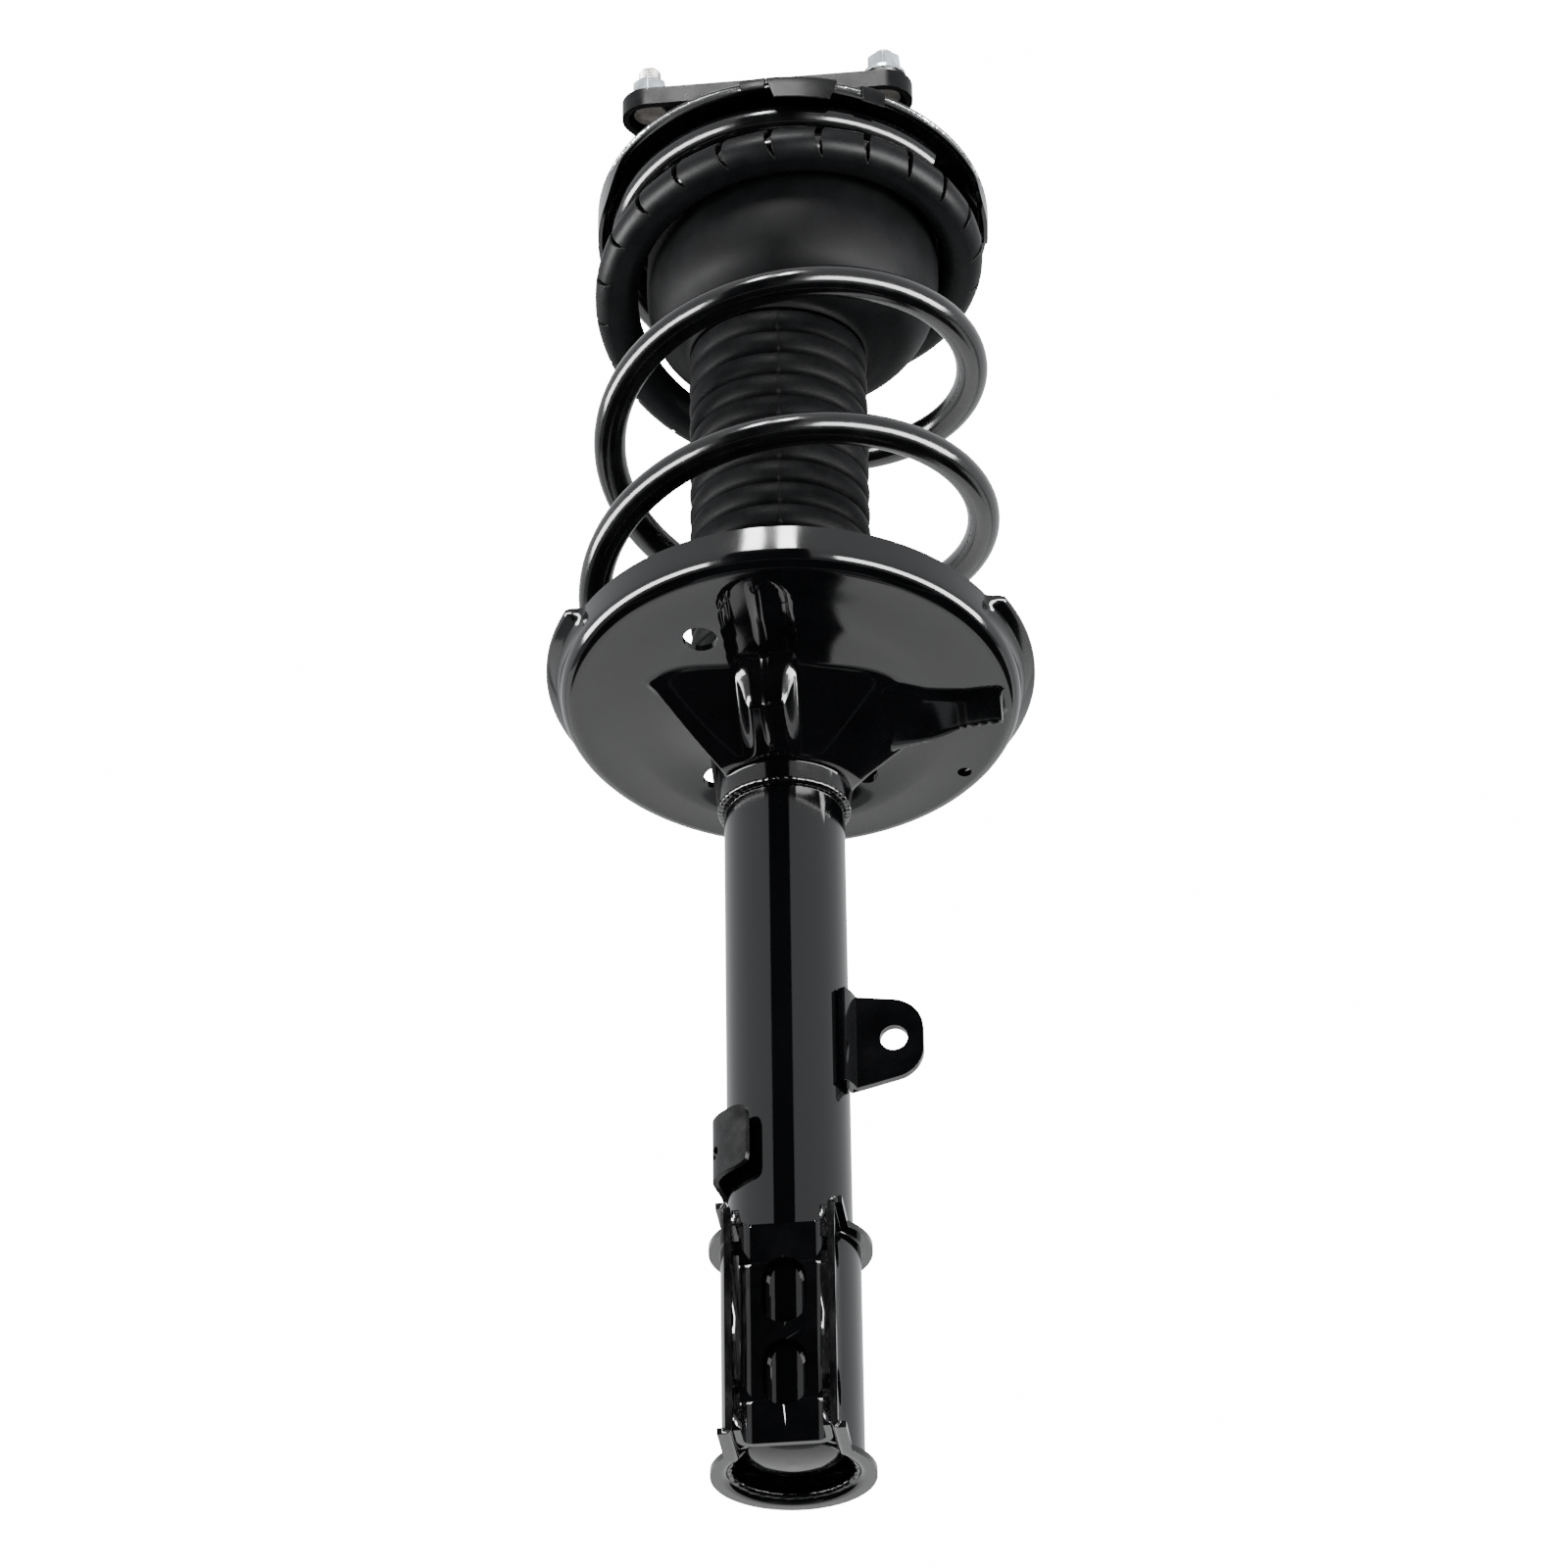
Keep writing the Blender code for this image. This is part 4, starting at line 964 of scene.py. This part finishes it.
def make_channel():
    """The channel between the ears: two flanges with bolt holes, a web with two slots."""
    side = EAR_X - GAP - BRACKET_SHEET
    face = WEB_FACE_Y
    corner = 3.6
    path = [(-side, -42.5), (-side, -38.0), (-side, face - corner - 1.0)]
    path += arc(-side + corner, face - corner, corner, 180.0, 90.0, 8)
    path += [(-8.0, face), (0.0, face), (8.0, face)]
    path += arc(side - corner, face - corner, corner, 90.0, 0.0, 8)
    path += [(side, face - corner - 1.0), (side, -38.0), (side, -42.5)]
    levels = [(z, path) for z in (-561.0, -562.5, -575.0, -608.0, -640.0, -655.0, -657.0)]
    channel = wall("bracket_channel", levels, BRACKET_SHEET, "paint", 0.0)
    for z in BOLT_HOLE_Z:
        drill(channel, BOLT_HOLE_R, (0.0, BOLT_HOLE_Y, z), axis="X", length=120.0)
    for z in SLOT_Z:
        cut_slot(channel, z)
    soften(channel, 0.5)
    apply_modifiers(channel)
    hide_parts("bracket_reinforcement")
    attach(channel, "strut_body")


def make_hose_bracket():
    """Sheet bracket: a foot that follows the tube, a soft bend, then the drilled tongue."""
    centre = (44.5, -467.7)
    tongue = [(TUBE_R + 4.0, -490.0), (36.0, -488.4)] + arc(42.8, -472.2, 14.0, -72.0, -6.0, 14)
    tongue += arc(42.8, -463.7, 14.0, 6.0, 78.0, 14) + [(36.0, -448.7), (TUBE_R + 4.0, -447.8)]
    rows = 12
    half = len(tongue) // 2
    lower = tongue[:half + 1]
    upper = list(reversed(tongue[half:]))
    vertices = []
    for (xa, za), (xb, zb) in zip(lower, upper):
        for k in range(rows + 1):
            t = k / rows
            vertices.append((xa + (xb - xa) * t, -2.0, za + (zb - za) * t))
    foot = []
    for i in range(9):
        a = math.radians(-5.0 - 26.0 * (8 - i) / 8.0)
        radius = TUBE_R + 0.6
        foot.append((radius * math.cos(a), radius * math.sin(a) + 0.3))
    foot.append((TUBE_R + 1.4, -1.7))
    lead = []
    for x, y in foot:
        for k in range(rows + 1):
            lead.append((x, y, -490.4 + 42.9 * k / rows))
    vertices = lead + vertices
    columns = len(vertices) // (rows + 1)
    plate = add_mesh("hose_bracket_pressing", vertices, grid_faces(columns, rows + 1), "paint")
    shape = bmesh.new()
    shape.from_mesh(plate.data)
    bmesh.ops.remove_doubles(shape, verts=shape.verts, dist=0.00001)
    bmesh.ops.recalc_face_normals(shape, faces=shape.faces)
    if sum(f.normal.y for f in shape.faces) < 0.0:
        bmesh.ops.reverse_faces(shape, faces=shape.faces)
    shape.to_mesh(plate.data)
    shape.free()
    solid = plate.modifiers.new("Sheet", "SOLIDIFY")
    solid.thickness = HOSE_SHEET * MM
    solid.offset = -1.0
    apply_modifiers(plate)
    tidy_normals(plate)
    drill(plate, HOSE_HOLE_R, (centre[0], 0.0, centre[1]), axis="Y", length=30.0)
    soften(plate, 0.5)
    apply_modifiers(plate)
    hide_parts("hose_bracket")
    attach(plate, "strut_body")


def make_sensor_bracket():
    """Small clip plate: a flat face, then an S bend down to a foot on the tube."""
    line = smooth_line(
        [
            (-25.8, 3.5), (-26.4, -3.0), (-28.6, -8.5), (-28.6, -14.0), (-25.4, -20.0), (-19.6, -25.6),
            (-13.8, -29.2),
        ],
        7,
    )
    rows = 16
    vertices = []
    for i, (x, y) in enumerate(line):
        t = i / (len(line) - 1)
        drop = 7.0 * (1.0 - ease(t / 0.35))
        half = 13.8 - 3.0 * (1.0 - ease(t / 0.3))
        if t > 0.84:
            half -= 4.5 * (1.0 - math.sqrt(max(0.0, 1.0 - ((t - 0.84) / 0.16) ** 2)))
        for k in range(rows + 1):
            vertices.append((x, y, -519.5 - drop + half * (2.0 * k / rows - 1.0)))
    clip = add_mesh("sensor_clip_plate", vertices, grid_faces(len(line), rows + 1), "cast_paint")
    thicken(clip, SENSOR_SHEET, 0.0)
    shape = bmesh.new()
    hole = SENSOR_HOLE_R * MM
    bmesh.ops.create_cone(shape, cap_ends=True, segments=32, radius1=hole, radius2=hole, depth=12.0 * MM)
    for turn, about in ((90.0, "Y"), (28.0, "Z")):
        matrix = Matrix.Rotation(math.radians(turn), 3, about)
        bmesh.ops.rotate(shape, cent=(0, 0, 0), matrix=matrix, verts=shape.verts)
    place = Vector((-27.4, -16.6, -522.0))
    bmesh.ops.translate(shape, vec=place * MM, verts=shape.verts)
    cut(clip, cutter_from(shape, "drill"))
    soften(clip, 0.5)
    apply_modifiers(clip)
    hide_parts("sensor_bracket")
    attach(clip, "strut_body")


def turned(name, profile, material, node, body, count, smooth_angle=30.0):
    """A turned piece from a profile of radius and height."""
    rings = []
    for radius, z in profile:
        r = max(radius, 0.01)
        rings.append([Vector((r * math.cos(a), r * math.sin(a), z)) for a in circle(count)])
    obj = skin(name, rings, material, close_chain=profile[0][0] > 0.0, smooth_angle=smooth_angle)
    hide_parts(node)
    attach(obj, body)
    return obj


def make_body():
    tube = [
        (21.2, -262.0), (23.4, -262.0), (24.8, -262.5), (25.4, -263.6), (25.5, -265.0), (25.5, -266.5),
        (25.5, -650.5), (25.5, -652.0), (25.2, -653.0), (23.6, -653.0), (23.4, -652.0), (23.4, -264.2),
        (21.2, -264.2),
    ]
    turned("damper_tube", tube, "tube_paint", "strut_tube", "strut_body", 160)
    low = -653.0
    cap = [
        (0.0, low - 1.2), (6.0, low - 1.0), (12.0, low - 0.2), (17.0, low + 1.4), (20.6, low + 3.4),
        (22.4, low + 5.2), (23.0, low + 8.0), (22.4, low + 9.0), (19.0, low + 6.4), (0.0, low + 3.0),
    ]
    turned("tube_end_dome", cap, "paint", "tube_bottom_cap", "strut_body", 96, 50.0)


def make_fixings():
    """Three threaded studs on one pitch circle, with their flange nuts."""
    foot = [(4.9, 0.0), (4.9, -3.2), (5.6, -3.4), (7.3, -3.5), (7.5, -3.9), (7.5, -5.7), (7.0, -6.3), (0.0, -6.3)]
    for label, degrees in (("front_left", 210.0), ("front_right", 330.0), ("rear", 90.0)):
        a = math.radians(degrees)
        profile = [(0.0, 18.0), (3.4, 18.0), (4.2, 17.4), (4.9, 16.4)]
        z = 16.0
        while z > 0.5:
            profile += [(4.95, z), (4.55, z - 0.55), (4.95, z - 1.1)]
            z -= 1.4
        profile += foot
        stud = turned(
            "stud_" + label, profile, "stud_zinc", "mount_stud_" + label, "top_mount", 40
        )
        stud.location = (STUD_CIRCLE_R * math.cos(a) * MM, STUD_CIRCLE_R * math.sin(a) * MM, 0.0)
        refine("flange_nut_" + label, "zinc", "top_mount", 0.45)


def refine(node, material, body, width):
    """A copy of a CAD node's shape with its edges rounded."""
    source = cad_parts[node]
    obj = bpy.data.objects.new(node + "_detailed", source.data.copy())
    bpy.context.scene.collection.objects.link(obj)
    obj.data.materials.clear()
    obj.data.materials.append(MATS[material])
    shape = bmesh.new()
    shape.from_mesh(obj.data)
    bmesh.ops.remove_doubles(shape, verts=shape.verts, dist=0.000005)
    bmesh.ops.dissolve_limit(shape, angle_limit=math.radians(2.0), verts=shape.verts, edges=shape.edges)
    shape.to_mesh(obj.data)
    shape.free()
    obj.data.shade_smooth()
    soften(obj, width)
    apply_modifiers(obj)
    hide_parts(node)
    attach(obj, body)


def carried_over():
    """CAD nodes that keep their shape get a finished material."""
    finishes = {
        "cast_paint": ("mount_lower_cup",),
        "rubber": ("mount_rubber", "rod_oil_seal", "rebound_stop", "lower_spring_pad"),
        "zinc": ("rod_top_nut", "rod_washer"),
        "chrome": ("piston_rod",),
        "foam": ("bump_stop",),
        "ptfe": ("piston_band",),
        "steel": (
            "bearing_outer_race", "bearing_inner_sleeve", "ball_cage", "bump_stop_cup", "piston",
            "piston_valve_plate", "piston_nut", "tube_bump_cap", "rod_guide", "pressure_cylinder", "base_valve",
        ),
    }
    for finish, nodes in finishes.items():
        for node in nodes:
            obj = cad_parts[node]
            obj.data.materials.clear()
            obj.data.materials.append(MATS[finish])


# ---------------------------------------------------------------- studio

def flat_material(name, colour, emission=0.0):
    made, nodes, links = new_material(name)
    shader = nodes["Principled BSDF"]
    shader.inputs["Base Color"].default_value = (*colour, 1.0)
    shader.inputs["Roughness"].default_value = 0.9
    shader.inputs["Specular IOR Level"].default_value = 0.1
    if emission > 0.0:
        shader.inputs["Emission Color"].default_value = (1.0, 1.0, 1.0, 1.0)
        shader.inputs["Emission Strength"].default_value = emission
    return made


def direction(azimuth, elevation):
    a = math.radians(azimuth)
    e = math.radians(elevation)
    return Vector((math.sin(a) * math.cos(e), -math.cos(a) * math.cos(e), math.sin(e)))


def screen(name, azimuths, elevations, distance, material):
    """A curved panel round the object that only mirror-like surfaces see."""
    steps = 10
    vertices = []
    for i in range(steps + 1):
        for k in range(steps + 1):
            a = azimuths[0] + (azimuths[1] - azimuths[0]) * i / steps
            e = elevations[0] + (elevations[1] - elevations[0]) * k / steps
            vertices.append(direction(a, e) * distance * 1000.0 + Vector((0.0, 0.0, CAMERA_AIM_Z)))
    MATS[name] = material
    panel = add_mesh(name, vertices, grid_faces(steps + 1, steps + 1), name)
    panel.visible_camera = False
    panel.visible_diffuse = False
    panel.visible_shadow = False
    panel.visible_transmission = False


def make_studio():
    scene = bpy.context.scene
    world = bpy.data.worlds.new("studio")
    scene.world = world
    world.use_nodes = True
    nodes = world.node_tree.nodes
    links = world.node_tree.links
    nodes.clear()
    output = nodes.new("ShaderNodeOutputWorld")
    mix = nodes.new("ShaderNodeMixShader")
    soft = nodes.new("ShaderNodeMixShader")
    dim = nodes.new("ShaderNodeBackground")
    dim.inputs["Color"].default_value = (0.95, 0.98, 1.0, 1.0)
    dim.inputs["Strength"].default_value = 0.42
    path = nodes.new("ShaderNodeLightPath")
    seen = nodes.new("ShaderNodeBackground")
    lit = nodes.new("ShaderNodeBackground")
    seen.inputs["Color"].default_value = (1.0, 1.0, 1.0, 1.0)
    seen.inputs["Strength"].default_value = 16.0
    lit.inputs["Color"].default_value = (0.97, 0.985, 1.0, 1.0)
    lit.inputs["Strength"].default_value = 1.15
    links.new(path.outputs["Is Diffuse Ray"], soft.inputs["Fac"])
    links.new(lit.outputs[0], soft.inputs[1])
    links.new(dim.outputs[0], soft.inputs[2])
    links.new(path.outputs["Is Camera Ray"], mix.inputs["Fac"])
    links.new(soft.outputs[0], mix.inputs[1])
    links.new(seen.outputs[0], mix.inputs[2])
    links.new(mix.outputs[0], output.inputs["Surface"])

    MATS["floor"] = flat_material("pale_floor", (0.86, 0.86, 0.86))
    floor = add_mesh(
        "floor", [(-6000, -6000, -1950), (6000, -6000, -1950), (6000, 6000, -1950), (-6000, 6000, -1950)],
        [(0, 1, 2, 3)], "floor",
    )
    dark = flat_material("black_card", (0.0, 0.0, 0.0))
    white = flat_material("softbox_face", (1.0, 1.0, 1.0), 95.0)
    screen("front_flag", (-24.0, 15.0), (-28.0, 39.0), 3.2, dark)
    screen("low_flag", (-75.0, 75.0), (-89.0, -28.0), 1.55, dark)
    screen("rear_low_flag", (105.0, 255.0), (-89.0, -74.0), 1.55, dark)
    panel = flat_material("rear_panel_face", (1.0, 1.0, 1.0), 0.85)
    screen("rear_low_panel", (115.0, 245.0), (-60.0, -12.0), 1.6, panel)
    screen("cone_flag_left", (-132.0, -76.0), (-72.0, -32.0), 1.55, dark)
    screen("cone_flag_right", (76.0, 146.0), (-74.0, -24.0), 1.55, dark)
    strip = flat_material("side_box_face", (1.0, 1.0, 1.0), 45.0)
    screen("top_box_left", (-17.5, -8.0), (41.0, 54.0), 3.1, white)
    screen("top_box_right", (1.0, 9.5), (41.0, 54.0), 3.1, white)
    screen("side_box_left", (-100.0, -30.0), (-13.0, 7.0), 3.0, strip)
    screen("side_box_right", (26.0, 100.0), (-13.0, 7.0), 3.0, strip)
    for name, azimuth, elevation, power, size in (
        ("key_left", -55.0, 35.0, 22.0, 1.6), ("key_right", 60.0, 30.0, 16.0, 1.6),
        ("fill_top", 170.0, 50.0, 18.0, 2.0),
    ):
        data = bpy.data.lights.new(name, "AREA")
        data.energy = power
        data.size = size
        lamp = bpy.data.objects.new(name, data)
        scene.collection.objects.link(lamp)
        away = direction(azimuth, elevation)
        lamp.location = away * 2.6 + Vector((0.0, 0.0, CAMERA_AIM_Z * MM))
        lamp.rotation_euler = away.to_track_quat("Z", "Y").to_euler()
        lamp.visible_glossy = False


def make_camera():
    data = bpy.data.cameras.new("camera")
    data.lens = LENS
    data.sensor_width = 36.0
    data.clip_end = 30.0
    camera = bpy.data.objects.new("camera", data)
    bpy.context.scene.collection.objects.link(camera)
    back = Vector(
        (
            math.sin(CAMERA_AZIMUTH) * math.cos(CAMERA_ELEVATION),
            -math.cos(CAMERA_AZIMUTH) * math.cos(CAMERA_ELEVATION),
            math.sin(CAMERA_ELEVATION),
        )
    )
    right = Vector((math.cos(CAMERA_AZIMUTH), math.sin(CAMERA_AZIMUTH), 0.0))
    up = back.cross(right)
    turned_right = right * math.cos(CAMERA_ROLL) - up * math.sin(CAMERA_ROLL)
    turned_up = up * math.cos(CAMERA_ROLL) + right * math.sin(CAMERA_ROLL)
    rotation = Matrix((turned_right, turned_up, back)).transposed().to_4x4()
    aim = Vector((0.0, 0.0, CAMERA_AIM_Z))
    place = (aim + back * CAMERA_DISTANCE) * MM
    camera.matrix_world = Matrix.Translation(place) @ rotation
    bpy.context.scene.camera = camera


MATS = {}
make_camera()
make_materials()
make_studio()
carried_over()
make_spring()
make_upper_seat()
make_rim_clip("rim_clip_left", 261.0, 268.4, 6.0, 3.0, 0.4)
make_rim_clip("rim_flap", 268.8, 289.0, 3.0, 9.0, 2.2)
make_rim_clip("rim_clip_right", 296.4, 303.7, 6.0, 6.0, 0.4)
make_isolator()
make_boot_dome()
make_boot()
make_lower_seat()
make_welds()
make_knuckle_bracket()
make_hose_bracket()
make_sensor_bracket()
make_body()
make_fixings()
refine("mount_plate", "cast_paint", "top_mount", 0.9)
make_channel()

bpy.context.view_layer.update()
